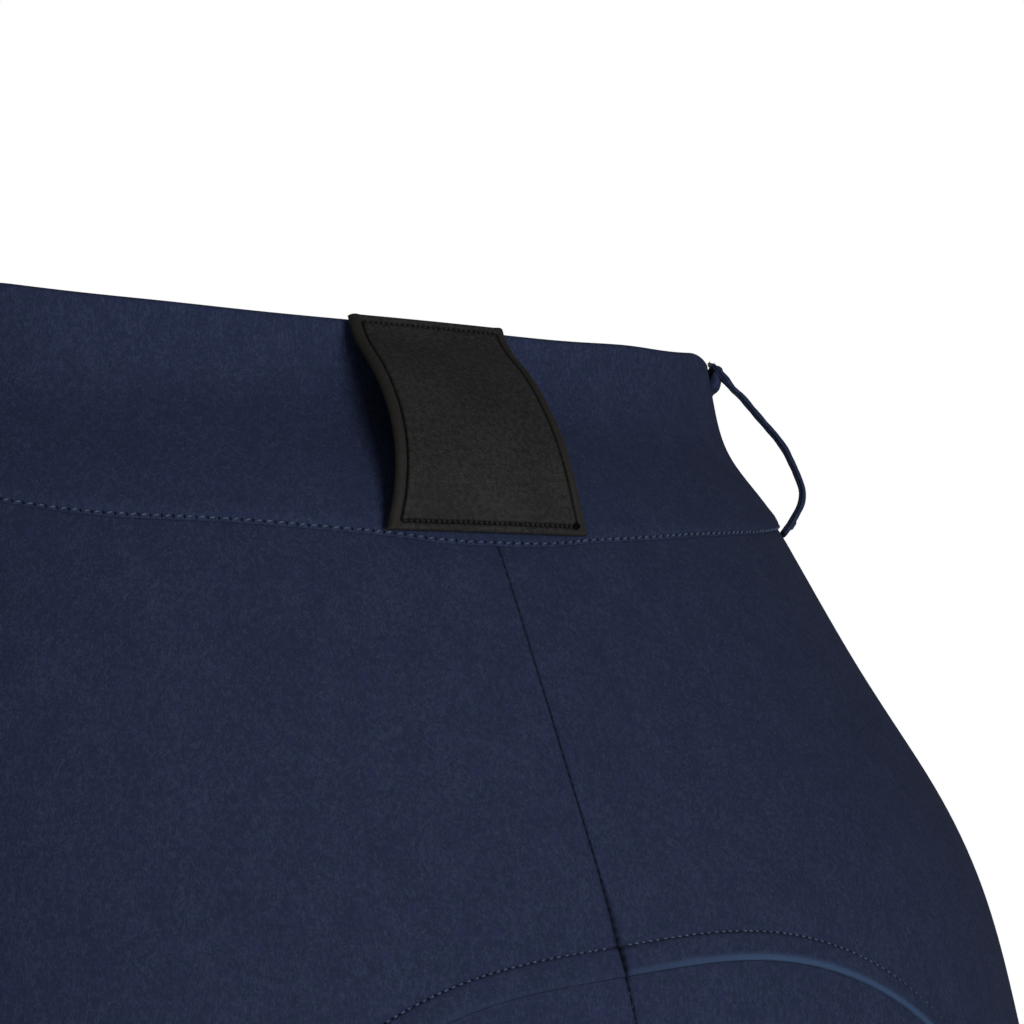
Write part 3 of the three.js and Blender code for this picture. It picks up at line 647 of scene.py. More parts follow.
def metal_material():
    """Dark brushed metal of the waist button."""
    made, tree, shader = new_material("button_metal", Roughness=0.34, Metallic=1.0)
    place = object_place(tree)
    worn_spots = noise(tree, scaled(tree, place, 900, 900, 900), 3.0)
    colour = mixed(tree, worn_spots, (0.055, 0.055, 0.06), (0.11, 0.11, 0.115))
    tree.links.new(colour, shader.inputs["Base Color"])
    brushed = noise(tree, scaled(tree, place, 300, 4000, 4000), 2.0)
    tree.links.new(mapped(tree, brushed, 0.3, 0.7, 0.26, 0.45), shader.inputs["Roughness"])
    return made


MATERIALS = {
    "cloth": cloth_material("cloth", (0.0112, 0.0160, 0.0362), (0.0222, 0.0298, 0.0590), 0.42),
    # Band cloth: tones a little lighter than the panel cloth, partly the band's own tone and partly
    # painted light for the light from above on the band's upward slope
    "band": cloth_material("band_cloth", (0.0116, 0.0168, 0.0385), (0.0230, 0.0312, 0.0640),
                           0.42, pitch=2.6),
    "cuff": cloth_material("cuff_cloth", (0.0095, 0.0130, 0.0290), (0.0175, 0.0225, 0.0450),
                           0.6, twill=1.3),
    "leather": leather_material(),
    "thread": thread_material("seam_thread", (0.050, 0.078, 0.128), (0.024, 0.040, 0.074)),
    "thread_dark": thread_material("navy_thread", (0.016, 0.023, 0.05), (0.008, 0.012, 0.028)),
    "thread_black": thread_material("black_thread", (0.0024, 0.0024, 0.0024), (0.001, 0.001, 0.001),
                                    gloss=0.02),
    "thread_grey": thread_material("grey_thread", (0.020, 0.020, 0.020), (0.010, 0.010, 0.010),
                                   gloss=0.1),
    "metal": metal_material(),
}

# Leg and torso panels


def panel_place(side, back, top, hem):
    def place(s, t):
        u = 0.5 + s / 2 if back else s / 2
        z = top(u) + (hem(u) - top(u)) * t
        return worn(side, u, z, creased=False)[0]
    return place


def band_low(side):
    return lambda u: band_seam(u, side)


def level(height):
    return lambda u: np.full(np.shape(u), float(height))


def panel_points(side, back, top, hem, columns, rows, **lines):
    """Parameters and edge distances of a long panel; s runs away from the centre front."""
    place = panel_place(side, back, top, hem)
    s, t, left, right, above, below = patch(place, columns, rows, **lines)
    u = 0.5 + s / 2 if back else s / 2
    z = top(u) + (hem(u) - top(u)) * t
    return u, z, left, right, above, below


# Long seams of the panels: rounding of an edge, drag beside it and painted shade in the groove. The
# rounding and the painted shade grow where the centre-back seam crosses the lapped seat seam.
SEAM = {"round": 0.5, "crossing_round": 0.9, "drag": 0.16, "drag_reach": 2.2, "groove": 0.36,
        "crossing_groove": 0.9, "dark": 0.95, "crossing_rise": 8, "crossing_reach": 11,
        "back_from": 0.75}

# Lap of the seat seam: where its slope starts past the stitches and how long it is, the furrow
# of the stitches, the sag round them, the rounded fold, and the painted highlight along the fold's
# edge
LAP = {"past": 1.8, "ramp": 3.2, "furrow": 0.55, "furrow_reach": 0.42, "sag": 0.25,
       "sag_reach": 2.2, "round": 0.6, "highlight": 1.7, "highlight_fade": 0.5, "highlight_start": 0.35,
       "highlight_run": 60}


def seam_swell(u, z, low, high):
    """Value that grows where the centre-back seam crosses the lapped seat seam."""
    crossing = SEAT_SEAM["back"] + SEAM["crossing_rise"]
    near = bump(z - crossing, SEAM["crossing_reach"])
    return low + (high - low) * near * (u > SEAM["back_from"])


STITCH_LINES = {}


def cloth_drop(u, z, left, right):
    radius = seam_swell(u, z, SEAM["round"], SEAM["crossing_round"])
    drop = rounded(left, radius) + rounded(right, radius)
    drop += SEAM["drag"] * bump(left, SEAM["drag_reach"])
    drop += SEAM["drag"] * bump(right, SEAM["drag_reach"])
    return drop


# Painted shade: near-black strips along the panel's long edges, in the seam grooves
def groove_shade_mask(u, z, left, right):
    reach = seam_swell(u, z, SEAM["groove"], SEAM["crossing_groove"])
    return np.clip(SEAM["dark"] * (bump(left, reach) + bump(right, reach)), 0, 1)


def undulation(u, z, side):
    """Slow unevenness of the cloth over the body, under a third of a millimetre."""
    a = np.sin(u * 23 + z * 0.031 + side) * np.sin(z * 0.047 - u * 9 + 2 * side)
    b = np.sin(u * 51 - z * 0.022 + 3 * side) * np.sin(z * 0.083 + u * 17)
    return 0.14 * a + 0.07 * b


def make_panel(name, side, back, top, hem, columns, rows, turned=False, tucked=False,
               highlight=0.0, rise=0.75, **lines):
    """One cloth panel. turned folds its lower edge into the lapped seat seam; tucked sets its
    top edge under that lap."""
    u, z, left, right, above, below = panel_points(side, back, top, hem, columns, rows, **lines)
    out = -cloth_drop(u, z, left, right) + undulation(u, z, side)
    # Painted shade in the seam grooves goes into the third value of stitch_mm
    groove = groove_shade_mask(u, z, left, right)
    stitch = vectors(left, np.full(np.shape(u), FAR), groove)
    if turned:
        lap = smooth((SEAT_STITCH + LAP["past"] - below) / LAP["ramp"])
        out += rise * lap - LAP["furrow"] * bump(below - SEAT_STITCH, LAP["furrow_reach"])
        out -= LAP["sag"] * bump(below - SEAT_STITCH, LAP["sag_reach"])
        out -= rounded(below, LAP["round"] * rise)
        stitch = vectors(left, below - SEAT_STITCH, groove)
    else:
        out -= rounded(below, 0.5) + 0.15 * bump(below, 2)
    if tucked:
        out -= 0.1 * bump(above, 3.0) + rounded(above, 0.14)
    else:
        out -= rounded(above, 0.2) + 0.1 * bump(above, 2.6)
    outer, normal = worn(side, u, z, out)
    inner = worn(side, u, z, -PANEL_WALL + 0.12 * np.minimum(out, 0))[0]
    painted_highlight = 0.0
    if turned:
        # Painted highlight along the lap's folded edge, growing away from the centre back
        grown = highlight * (LAP["highlight_start"] + right / LAP["highlight_run"])
        painted_highlight = smooth((LAP["highlight"] - below) / LAP["highlight_fade"]) * np.clip(grown, 0, 1)
        row = u.shape[0] - 1 - TURNED_LINES.index(SEAT_STITCH)
        STITCH_LINES[name] = left[row], outer[row], normal[row]
    STITCH_LINES[name + "_centre"] = above[:, -1], outer[:, -1], normal[:, -1]
    grid = vectors(left * side, above, painted_highlight)
    piece = shell(name, outer, inner, MATERIALS["cloth"], {"cloth_mm": grid, "stitch_mm": stitch})
    return finish_piece(piece, name.replace("_cloth", ""))


SIDES = (("left", 1), ("right", -1))
for side_name, side in SIDES:
    # Painted highlight on the lap: full on the right side, faint on the left
    lap_looks = {"highlight": 1.0, "rise": 0.75} if side < 0 else {"highlight": 0.1, "rise": 0.3}
    make_panel(f"front_{side_name}_cloth", side, False, band_low(side), level(CUFF_SEAM),
               columns=70, rows=210)
    make_panel(f"back_{side_name}_cloth", side, True, band_low(side), seat_seam,
               columns=130, rows=62, turned=True, low=TURNED_LINES, **lap_looks)
    make_panel(f"seat_{side_name}_cloth", side, True, seat_seam, level(CUFF_SEAM),
               columns=96, rows=190, tucked=True)

# Cuffs


CUFF = {"columns": 150, "rows": 60, "tall": 65, "even_from": 8, "girth": 245, "ribs": 60,
        "rib_deep": 0.1, "turned": 18, "step": 0.18, "furrow": 0.35, "furrow_reach": 0.6}


def make_cuff(name, side):
    """Stretch cuff with fine ribs and a turned, stitched hem."""
    tall, turned = CUFF["tall"], CUFF["turned"]
    even = np.linspace(CUFF["even_from"], tall - CUFF["even_from"], CUFF["rows"])
    drop = np.concatenate([EDGE_LINES, even, tall - np.array(EDGE_LINES)[::-1]])
    share = (drop / tall)[:, None]
    u = np.arange(CUFF["columns"])[None, :] / CUFF["columns"] + 0 * share
    z = CUFF_SEAM - SEAM_GAP + (HEM - CUFF_SEAM + SEAM_GAP) * share + 0 * u
    above, hem = share * tall, tall - share * tall
    out = -rounded(above, 0.5) - 0.3 * bump(above, 2) - rounded(hem, 0.6)
    out = out - CUFF["furrow"] * bump(hem - turned, CUFF["furrow_reach"])
    out = out + CUFF["step"] * smooth((turned - hem) / 1.5)
    out = out + CUFF["rib_deep"] * np.sin(2 * np.pi * CUFF["ribs"] * u) * smooth((above - 1) / 3)
    outer = worn(side, u, z, out)[0]
    inner = worn(side, u, z, -CUFF_WALL)[0]
    long_u = np.concatenate([u, u[:, :1] + 1], 1)
    run = long_u * CUFF["girth"]
    grid = vectors(run, drop[:, None])
    stitch = vectors(run, hem - turned)
    row = int(np.abs(hem[:, 0] - turned).argmin())
    points, normal = worn(side, long_u[row] % 1, z[row, 0], out[row, 0] + 0.1)
    STITCH_LINES[name] = run[row], points, normal
    piece = shell(name + "_cloth", outer, inner, MATERIALS["cuff"],
                  {"cloth_mm": grid, "stitch_mm": stitch}, ring=True)
    return finish_piece(piece, name)


for side_name, side in SIDES:
    make_cuff(f"cuff_{side_name}", side)

# Waistband


def band_columns(step):
    """Angles from the centre back at an even step along the band, from the right front round
    the back to the left front, then the lapped end as distances past the centre front."""
    share = np.linspace(-1, 1, 2401)
    angle = np.pi * np.sign(share) * eased(np.abs(share))
    side, u = around(np.where(np.abs(angle) > np.pi - 1e-6, angle * (1 - 1e-9), angle))
    points = worn(side, u, band_seam(u, side), creased=False)[0]
    run = run_along(points)
    count = int(run[-1] / step)
    place = np.interp(np.linspace(0, run[-1], count + 1), run, angle)
    edge = np.array(EDGE_LINES[:-1])
    place = np.concatenate([np.interp(edge, run, angle), place[place > place[0] + 0.02]])
    side, u = around(place)
    lap = np.concatenate([np.linspace(1, CLOSURE_LAP - 5, 32), CLOSURE_LAP - edge[::-1]])
    lap_u = at_distance(lap, BAND_TOP["back"] + 0 * lap, False)
    side = np.concatenate([side, -np.ones(len(lap))])
    u = np.concatenate([u, lap_u])
    run = np.concatenate([np.interp(place, angle, run), run[-1] + lap])
    return side, u, run, run[-1] - run


BAND_STITCH = 0.5
BAND_PITCH = 2.6
BAND_LINES = (0, 0.08, 0.25, 0.5, 0.8, 1.2, 1.7, 2.4, 3.4, 4.8)
BAND_GRID = {"step": 0.95, "tall": 47.0, "even_from": 6.2, "rows": 22}
BAND_EDGES = {"top_round": 1.15, "low_round": 0.3, "low_sink": 0.6, "low_reach": 0.9,
              "right_end": 1.0, "left_end": 1.1, "lap_past": 22, "lap_ramp": 20}


def band_relief(run, above, below):
    """Ridge of the seam inside the band, dimples of its stitches and slow waves, in mm."""
    ridge = 0.2 * bump(below - 3.4, 1.6)
    pull = -0.1 * np.cos(2 * np.pi * run / BAND_PITCH) * bump(below - 0.9, 0.9)
    wave = 0.18 * np.sin(run * 0.055) * np.sin(above * 0.12 + run * 0.03)
    return ridge - pull + wave


def make_band():
    side, u, run, to_end = band_columns(BAND_GRID["step"])
    lines, height = np.array(BAND_LINES), BAND_GRID["tall"]
    even = np.linspace(BAND_GRID["even_from"], height - BAND_GRID["even_from"], BAND_GRID["rows"])
    down = np.concatenate([lines, even, height - lines[::-1]])
    share = (down / height)[:, None]
    u = u[None, :] + 0 * share
    side = side[None, :] + 0 * share
    z = band_top(u, side) * (1 - share) + band_seam(u, side) * share
    above, below = share * height, (1 - share) * height
    lap_start = run[-1] - CLOSURE_LAP - BAND_EDGES["lap_past"]
    lapped = smooth((run[None, :] - lap_start) / BAND_EDGES["lap_ramp"])
    out = BAND_PROUD + OVERLAP_RISE * lapped
    top_round = rounded(above, BAND_EDGES["top_round"])
    low_round = rounded(below, BAND_EDGES["low_round"])
    low_round = low_round + BAND_EDGES["low_sink"] * bump(below, BAND_EDGES["low_reach"])
    ends = rounded(run[None, :], BAND_EDGES["right_end"])
    ends = ends + rounded(to_end[None, :], BAND_EDGES["left_end"])
    relief = band_relief(run[None, :], above, below)
    outer, normal = worn(side, u, z, out - top_round - low_round + relief - ends)
    inner = worn(side, u, z, out - BAND_WALL + top_round + rounded(below, 0.5))[0]
    row = len(down) - 1 - BAND_LINES.index(BAND_STITCH)
    STITCH_LINES["band"] = run, outer[row], normal[row]
    long_run = run[None, :] + 0 * share
    piece = shell("waistband_cloth", outer, inner, MATERIALS["band"],
                  {"cloth_mm": vectors(long_run, above),
                   "stitch_mm": vectors(long_run, below - BAND_STITCH)})
    return finish_piece(piece, "waistband")


make_band()

# Strips that stand off the band


def strip_frame(path, down, across):
    """Points and normals of a strip's inside face."""
    step = 0.004
    along = path(np.minimum(down + step, 1), across) - path(np.maximum(down - step, 0), across)
    sideways = path(down, across + step) - path(down, across - step)
    return path(down, across), unit(np.cross(sideways, along))


def back_point(distance, z, out):
    side = np.where(distance < 0, -1.0, 1.0)
    return worn(side, at_distance(np.abs(distance), z, True), z, out, creased=False)[0]


def label_path(narrower=0.0):
    top = band_top(np.array(1.0))
    low = band_seam(np.array(1.0)) + LABEL["low_gap"]

    def path(down, across):
        down = np.asarray(down, float)
        spread = LABEL["low_half"] - LABEL["top_half"]
        half = LABEL["top_half"] + spread * down ** LABEL["flare"] - narrower
        shift = LABEL["top_shift"] + (LABEL["low_shift"] - LABEL["top_shift"]) * down
        out = BAND_PROUD + LABEL["seat_gap"] + LABEL["bow"] * np.sin(np.pi * down)
        return back_point(shift + across * half, top + (low - top) * down, out)
    return path


LABEL_RIM = 2.7
LABEL_GROOVE = 0.42
LABEL_END = 2.1


def label_grid(path, across_lines, down_lines):
    """Parameters of a strip at set distances in mm across and down it, and those distances."""
    down = np.linspace(0, 1, 241)
    middle = path(down, 0 * down)
    run = run_along(middle)
    length = run[-1]
    rows = shares([length], *down_lines)[0]
    t = np.interp(rows * length, run, down)
    width = np.linalg.norm(path(t, 1 + 0 * t) - path(t, -1 + 0 * t), axis=-1)
    columns = shares(width, *across_lines)
    t = np.repeat(t[:, None], columns.shape[1], 1)
    return t, 2 * columns - 1, columns * width[:, None], (rows * length)[:, None] + 0 * t, length


LABEL_SIDE_LINES = (0, 0.07, 0.2, 0.4, 0.65, 0.95, 1.3, 1.7, 2.1, 2.35, 2.5, 2.6, 2.7, 2.8, 2.9,
                    3.05, 3.3, 3.8)
LABEL_END_LINES = (0, 0.07, 0.2, 0.4, 0.65, 0.95, 1.25, 1.5, 1.7, 1.9, 2.1, 2.3, 2.5, 2.7, 3.0,
                   3.5, 4.3)
LEATHER = {"side_round": 1.15, "end_round": 0.7, "under_round": 0.5, "groove_deep": 0.8,
           "end_groove_deep": 0.6, "end_groove": 0.42, "rim": 0.22, "end_rim": 0.12,
           "field_sink": 0.1, "field_reach": 1.6}


def make_label_face():
    """Leather face with a grooved rim down its sides and a stitched groove near each end."""
    side_lines, end_lines = LABEL_SIDE_LINES, LABEL_END_LINES
    path = label_path()
    t, across, x, y, length = label_grid(path, (56, side_lines, side_lines),
                                         (58, end_lines, end_lines))
    point, normal = strip_frame(path, t, across)
    side_edge = np.minimum(x, x.max(1, keepdims=True) - x)
    end_edge = np.minimum(y, length - y)
    height = LABEL["leather"] - rounded(side_edge, LEATHER["side_round"])
    height -= rounded(end_edge, LEATHER["end_round"])
    inside = smooth((end_edge - LABEL_END) / 0.6 + 0.5)
    groove = bump(side_edge - LABEL_RIM, LABEL_GROOVE / 1.6) * inside
    corner = smooth((side_edge - LABEL_RIM) / 0.4 + 0.5)
    end_groove = bump(end_edge - LABEL_END, LEATHER["end_groove"]) * corner
    height -= LEATHER["groove_deep"] * groove + LEATHER["end_groove_deep"] * end_groove
    height += LEATHER["rim"] * bump(side_edge - 1.35, 0.95)
    height += LEATHER["end_rim"] * bump(end_edge - 0.9, 0.7)
    field = bump(side_edge - LABEL_RIM - LEATHER["field_reach"], LEATHER["field_reach"])
    height += LEATHER["field_sink"] * field * inside
    base = LABEL["strip"] + SEAM_GAP
    outer = point + normal * (base + height)[..., None]
    under = base + rounded(side_edge, LEATHER["under_round"]) * 0.6
    inner = point + normal * under[..., None]
    brown = smooth((LABEL_RIM - side_edge) / 0.5 + 0.2)
    # Painted shade: the stitched grooves turn near black
    dark = np.clip(0.97 * groove + 0.55 * end_groove, 0, 1)
    piece = shell("label_leather_face", outer, inner, MATERIALS["leather"],
                  {"cloth_mm": vectors(x, y, brown),
                   "stitch_mm": vectors(x, end_edge - LABEL_END + 9 * (1 - corner), dark)})
    line = end_lines.index(LABEL_END)
    for key, row in (("label_top", line), ("label_low", len(x) - 1 - line)):
        STITCH_LINES[key] = x[row], outer[row], normal[row]
    return finish_piece(piece, "label_leather")


def make_label_backing():
    """Navy cloth strip under the leather, a little narrower."""
    near = EDGE_LINES[:7]
    path = label_path(LABEL["strip_inset"])
    t, across, x, y, _ = label_grid(path, (30, near, near), (50, near, near))
    point, normal = strip_frame(path, t, across)
    lift = rounded(np.minimum(x, x.max(1, keepdims=True) - x), 0.45)
    strip = shell("label_backing_cloth", point + normal * (LABEL["strip"] - lift)[..., None],
                  point + normal * lift[..., None], MATERIALS["band"],
                  {"cloth_mm": vectors(x, y), "stitch_mm": vectors(x, FAR)})
    return finish_piece(strip, "label_backing")


LOOP_CURVE = Curve((0, 0.12, 0.25, 0.4, 0.55, 0.7, 0.82, 0.92, 1),
                   (0, 0.29, 0.58, 0.83, 0.95, 0.96, 0.84, 0.59, 0))


def loop_path(angle, bow):
    """Middle line of a belt loop, its direction across and its direction out."""
    side, u = around(angle)
    top = band_edge(BAND_TOP, np.pi * (1 - u)) - LOOP["top_inset"]
    low = band_seam(u) - LOOP["low_drop"]
    seat_top = BAND_PROUD + LAY_GAP + LOOP["wall"] / 2

    def middle(down, at_angle=angle):
        here_side, here_u = around(at_angle)
        seat = seat_top + (LAY_GAP + 0.3 - seat_top) * down
        out = seat + bow * LOOP_CURVE(down)
        return worn(here_side, here_u, top + (low - top) * down, out, creased=False)[0]

    def path(down):
        down = np.asarray(down, float)
        step = 0.004
        along = unit(middle(np.minimum(down + step, 1)) - middle(np.maximum(down - step, 0)))
        across = middle(down, angle + 0.02) - middle(down, angle - 0.02)
        across = unit(across - along * (across * along).sum(-1, keepdims=True))
        out = np.cross(along, across)
        out *= np.sign((out * worn(side, u, top, 0.0)[1]).sum(-1, keepdims=True))
        twist = (LOOP["twist"] * np.sin(np.pi * down) ** 0.7)[..., None]
        turned_across = across * np.cos(twist) + out * np.sin(twist) * side
        turned_out = out * np.cos(twist) - across * np.sin(twist) * side
        return middle(down), turned_across, turned_out
    return path


def make_loop(name, angle, bow, turn):
    """Belt loop: a folded strip with full edges, slightly lumpy where it was turned."""
    path = loop_path(angle, bow)
    places = np.linspace(0, 1, 401)
    middle = path(places)[0]
    run = run_along(middle)
    length = run[-1]
    rows = shares([length], 110, EDGE_LINES[:6], EDGE_LINES[:6])[0]
    y = (rows * length)[:, None]
    taper = 1 - 0.25 * bump(y - 11, 5) - 0.1 * smooth((y - length + 8) / 8)
    width = LOOP["width"] * taper[:, 0]
    near = (0, 0.1, 0.3, 0.6, 1.0, 1.5)
    columns = shares(width, 9, near, near)
    x = columns * width[:, None]
    y = y + 0 * x
    middle, across, out = path(np.interp(rows * length, run, places))
    place = middle[:, None] + across[:, None] * (x - width[:, None] / 2)[..., None]
    edge = np.minimum(x, width[:, None] - x)
    lump = 0.1 * np.sin(y * 0.5 + turn) + 0.06 * np.sin(y * 1.3 + 2 * turn + x * 0.5)
    lump += 0.3 * bump(y - 4.5, 2.2) * np.sin(x * 2.1 + turn) - 0.25 * bump(y - 8.2, 1.4)
    lump -= 0.15 * bump(edge - 1.5, 0.35)
    full = LOOP["wall"] / 2 - rounded(edge, 0.85)
    thin = 0.45 + 0.55 * smooth((y + 0.5) / 4)
    end_round = rounded(np.minimum(y, length - y), 0.6)
    normal = out[:, None] + 0 * place
    outer = place + normal * ((full + 0.8 * lump) * thin - end_round)[..., None]
    inner = place - normal * (full - 0.5 * lump - end_round)[..., None]
    piece = shell(name + "_cloth", outer, inner, MATERIALS["band"],
                  {"cloth_mm": vectors(x, y), "stitch_mm": vectors(x, FAR)})
    for key, spot in (("_top", 2.4), ("_low", length - 3.2)):
        row = int(np.abs(y[:, 0] - spot).argmin())
        STITCH_LINES[name + key] = x[row], outer[row], normal[row]
    return finish_piece(piece, name)


make_label_face()
make_label_backing()
LOOPS = {
    "loop_back_left": (LOOP["back_angle"], LOOP["back_bow"], 0.4),
    "loop_back_right": (-LOOP["back_angle"], LOOP["back_bow"], 1.9),
    "loop_front_left": (LOOP["front_angle"], LOOP["front_bow"], 3.1),
    "loop_front_right": (-LOOP["front_angle"], LOOP["front_bow"], 4.7),
}
for loop_name, loop_sizes in LOOPS.items():
    make_loop(loop_name, *loop_sizes)

# Fly flap and button


def flap_point(down, share, out):
    drawn = FLAP["corner_back"] * smooth((down - FLAP["corner_from"]) / (1 - FLAP["corner_from"]))
    distance = FLAP["right_edge"] + (FLAP["left_edge"] - drawn - FLAP["right_edge"]) * share
    top = band_seam(np.array(0.0)) - 2 * SEAM_GAP
    z = top - down * (FLAP["length"] - FLAP["corner_lift"] * share ** 2)
    side = np.where(distance < 0, -1.0, 1.0)
    u = at_distance(np.abs(distance), z, False)
    return worn(side, u, z, out, creased=False)[0]


def make_flap():
    flat = FLAP["gap"] + FLAP["wall"]
    inset = FLAP["stitch_inset"]

    def place(s, t):
        return flap_point(t, s, flat + 0 * s)

    s, t, left, right, above, below = patch(place, 26, 110)
    out = flat - rounded(left, 0.5) - rounded(right, 0.6) - rounded(below, 0.6)
    out -= FLAP["furrow"] * (bump(right - inset, 0.5) + bump(below - inset, 0.5))
    outer = flap_point(t, s, out)
    inner = flap_point(t, s, FLAP["gap"] + 0 * s)
    column = int(np.abs(right[10] - inset).argmin())
    keep = slice(4, -12)
    away = unit(outer[keep, column] - inner[keep, column])
    STITCH_LINES["flap"] = above[keep, column], outer[keep, column], away
    piece = shell("fly_flap_cloth", outer, inner, MATERIALS["cloth"],
                  {"cloth_mm": vectors(left, above), "stitch_mm": vectors(above, FAR)})
    return finish_piece(piece, "fly_flap")


make_flap()
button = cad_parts["waist_button"]
button.data.materials.clear()
button.data.materials.append(MATERIALS["metal"])
button.data.shade_smooth()

# Stitches: short lengths of thread that lie along a stitch line and dive in at both ends

RING_SIDES = 6
RING_PLACES = np.array((-0.5, -0.34, 0.0, 0.34, 0.5))


# Thread of each seam: pitch of its stitches, then length, width, height and slant of one
STITCH_SIZES = {
    "band": (BAND_PITCH, 1.35, 0.4, 0.24, 0.3),
    "seat": (2.0, 0.95, 0.44, 0.26, 0.12),
    "cuff": (3.0, 2.2, 0.4, 0.3, 0.1),
    "label": (LABEL_PITCH, 0.95, 0.42, 0.3, 0.3),
    "label_tack": (0.26, 1.9, 0.42, 0.5, 1.45),
    "flap": (2.4, 1.7, 0.4, 0.28, 0.1),
    "loop_tack": (0.5, 1.7, 0.38, 0.4, 1.3),
    "centre_top": (3.0, 2.0, 0.4, 0.1, 0.5),
    "centre_low": (3.4, 1.9, 0.45, 0.12, 0.55),
}
JITTER = 0.06


def stitches(name, line, kind, thread, start=0.0, stop=None, seed=3, lean=1,
             zigzag=False):
    """One mesh of all the stitches of a line given as distances, points and normals."""
    run, points, normals = line
    pitch, length, width, height, slant = STITCH_SIZES[kind]
    stop = run[-1] if stop is None else stop
    draw = np.random.default_rng(seed)
    places = np.arange(math.ceil(start / pitch) + 1, math.floor(stop / pitch)) * pitch
    places = places + draw.normal(0, JITTER * pitch, len(places))

    def read(where, values):
        return np.stack([np.interp(where, run, values[:, k]) for k in range(3)], -1)

    centre = read(places, points)
    normal = unit(read(places, normals))
    tangent = unit(read(places + 0.3, points) - read(places - 0.3, points))
    sideways = np.cross(normal, tangent)
    angle = slant * lean + draw.normal(0, 0.08, len(places))
    if zigzag:
        angle *= (-1) ** np.arange(len(places))
    ahead = np.cos(angle)[:, None] * tangent + np.sin(angle)[:, None] * sideways
    across = np.cross(normal, ahead)
    long = length * (1 + draw.normal(0, JITTER, len(places)))
    turn = np.arange(RING_SIDES) * 2 * np.pi / RING_SIDES
    share = 2 * np.abs(RING_PLACES)
    lift = height * (1 - share ** 2.5) - 0.35 * height
    half = width / 2 * np.sqrt(1 - 0.75 * share ** 3)
    shape = (RING_PLACES[None, :, None, None] * long[:, None, None, None] * ahead[:, None, None]
             + (half[:, None] * np.cos(turn))[None, :, :, None] * across[:, None, None]
             + (lift[:, None] + half[:, None] * np.sin(turn))[None, :, :, None]
             * normal[:, None, None])
    spots = (centre[:, None, None] + shape).reshape(-1, 3)
    rings = len(RING_PLACES)
    block = []
    for k in range(rings - 1):
        for j in range(RING_SIDES):
            a, b = k * RING_SIDES + j, k * RING_SIDES + (j + 1) % RING_SIDES
            block.append((a, a + RING_SIDES, b + RING_SIDES, b))
    size = rings * RING_SIDES
    ends = [(0, 1, 2, 3), (0, 3, 4, 5)]
    block += ends + [tuple(size - RING_SIDES + v for v in end[::-1]) for end in ends]
    steps = np.arange(len(places))[:, None, None] * size
    faces = (np.array(block)[None] + steps).reshape(-1, 4)
    piece = mesh_piece(name, spots, faces, MATERIALS[thread], {"cloth_mm": spots[faces.ravel()]})
    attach(piece, "root")
    return piece


line = STITCH_LINES["band"]
stitches("waistband_stitches", line, "band", "thread",
                           stop=line[0][-1] - 50)
for side_name, side in SIDES:
    stitches(
        f"seat_seam_stitches_{side_name}", STITCH_LINES[f"back_{side_name}_cloth"], "seat",
        "thread", start=3, seed=5 + side, lean=side)
    stitches(
        f"cuff_stitches_{side_name}", STITCH_LINES[f"cuff_{side_name}"], "cuff",
        "thread_dark", seed=11 + side)
for place in ("top", "low"):
    line = STITCH_LINES[f"label_{place}"]
    stitches(
        f"label_stitches_{place}", line, "label", "thread_grey", start=2.4,
        stop=line[0][-1] - 1.6, seed=17, zigzag=True)
run, points, normals = STITCH_LINES["label_low"]
stitches(
    "label_bar_tack", (run, points + 0.55 * normals, normals), "label_tack", "thread_black",
    start=2.1, stop=4.2, seed=19)
stitches("fly_flap_stitches", STITCH_LINES["flap"], "flap", "thread",
                           seed=23)
for loop_name in LOOPS:
    for place in ("top", "low"):
        stitches(
            f"{loop_name}_tack_{place}", STITCH_LINES[f"{loop_name}_{place}"], "loop_tack",
            "thread_dark", start=0.4, stop=8.8, seed=29)
stitches("centre_seam_stitches_top", STITCH_LINES["back_left_cloth_centre"], "centre_top",
         "thread_dark", start=-2, stop=14, seed=31)
stitches("centre_seam_stitches_low", STITCH_LINES["seat_left_cloth_centre"], "centre_low",
         "thread_dark", start=0, stop=150, seed=37)

# Turned ends of the belt loops, bunched under their top tacks


FOLD = {"at": 0.1, "half": 1.12, "tall": 3.3, "deep": 1.8, "press": 0.85, "back": 2.9,
        "below_top": 6, "places": 26, "turns": 40}


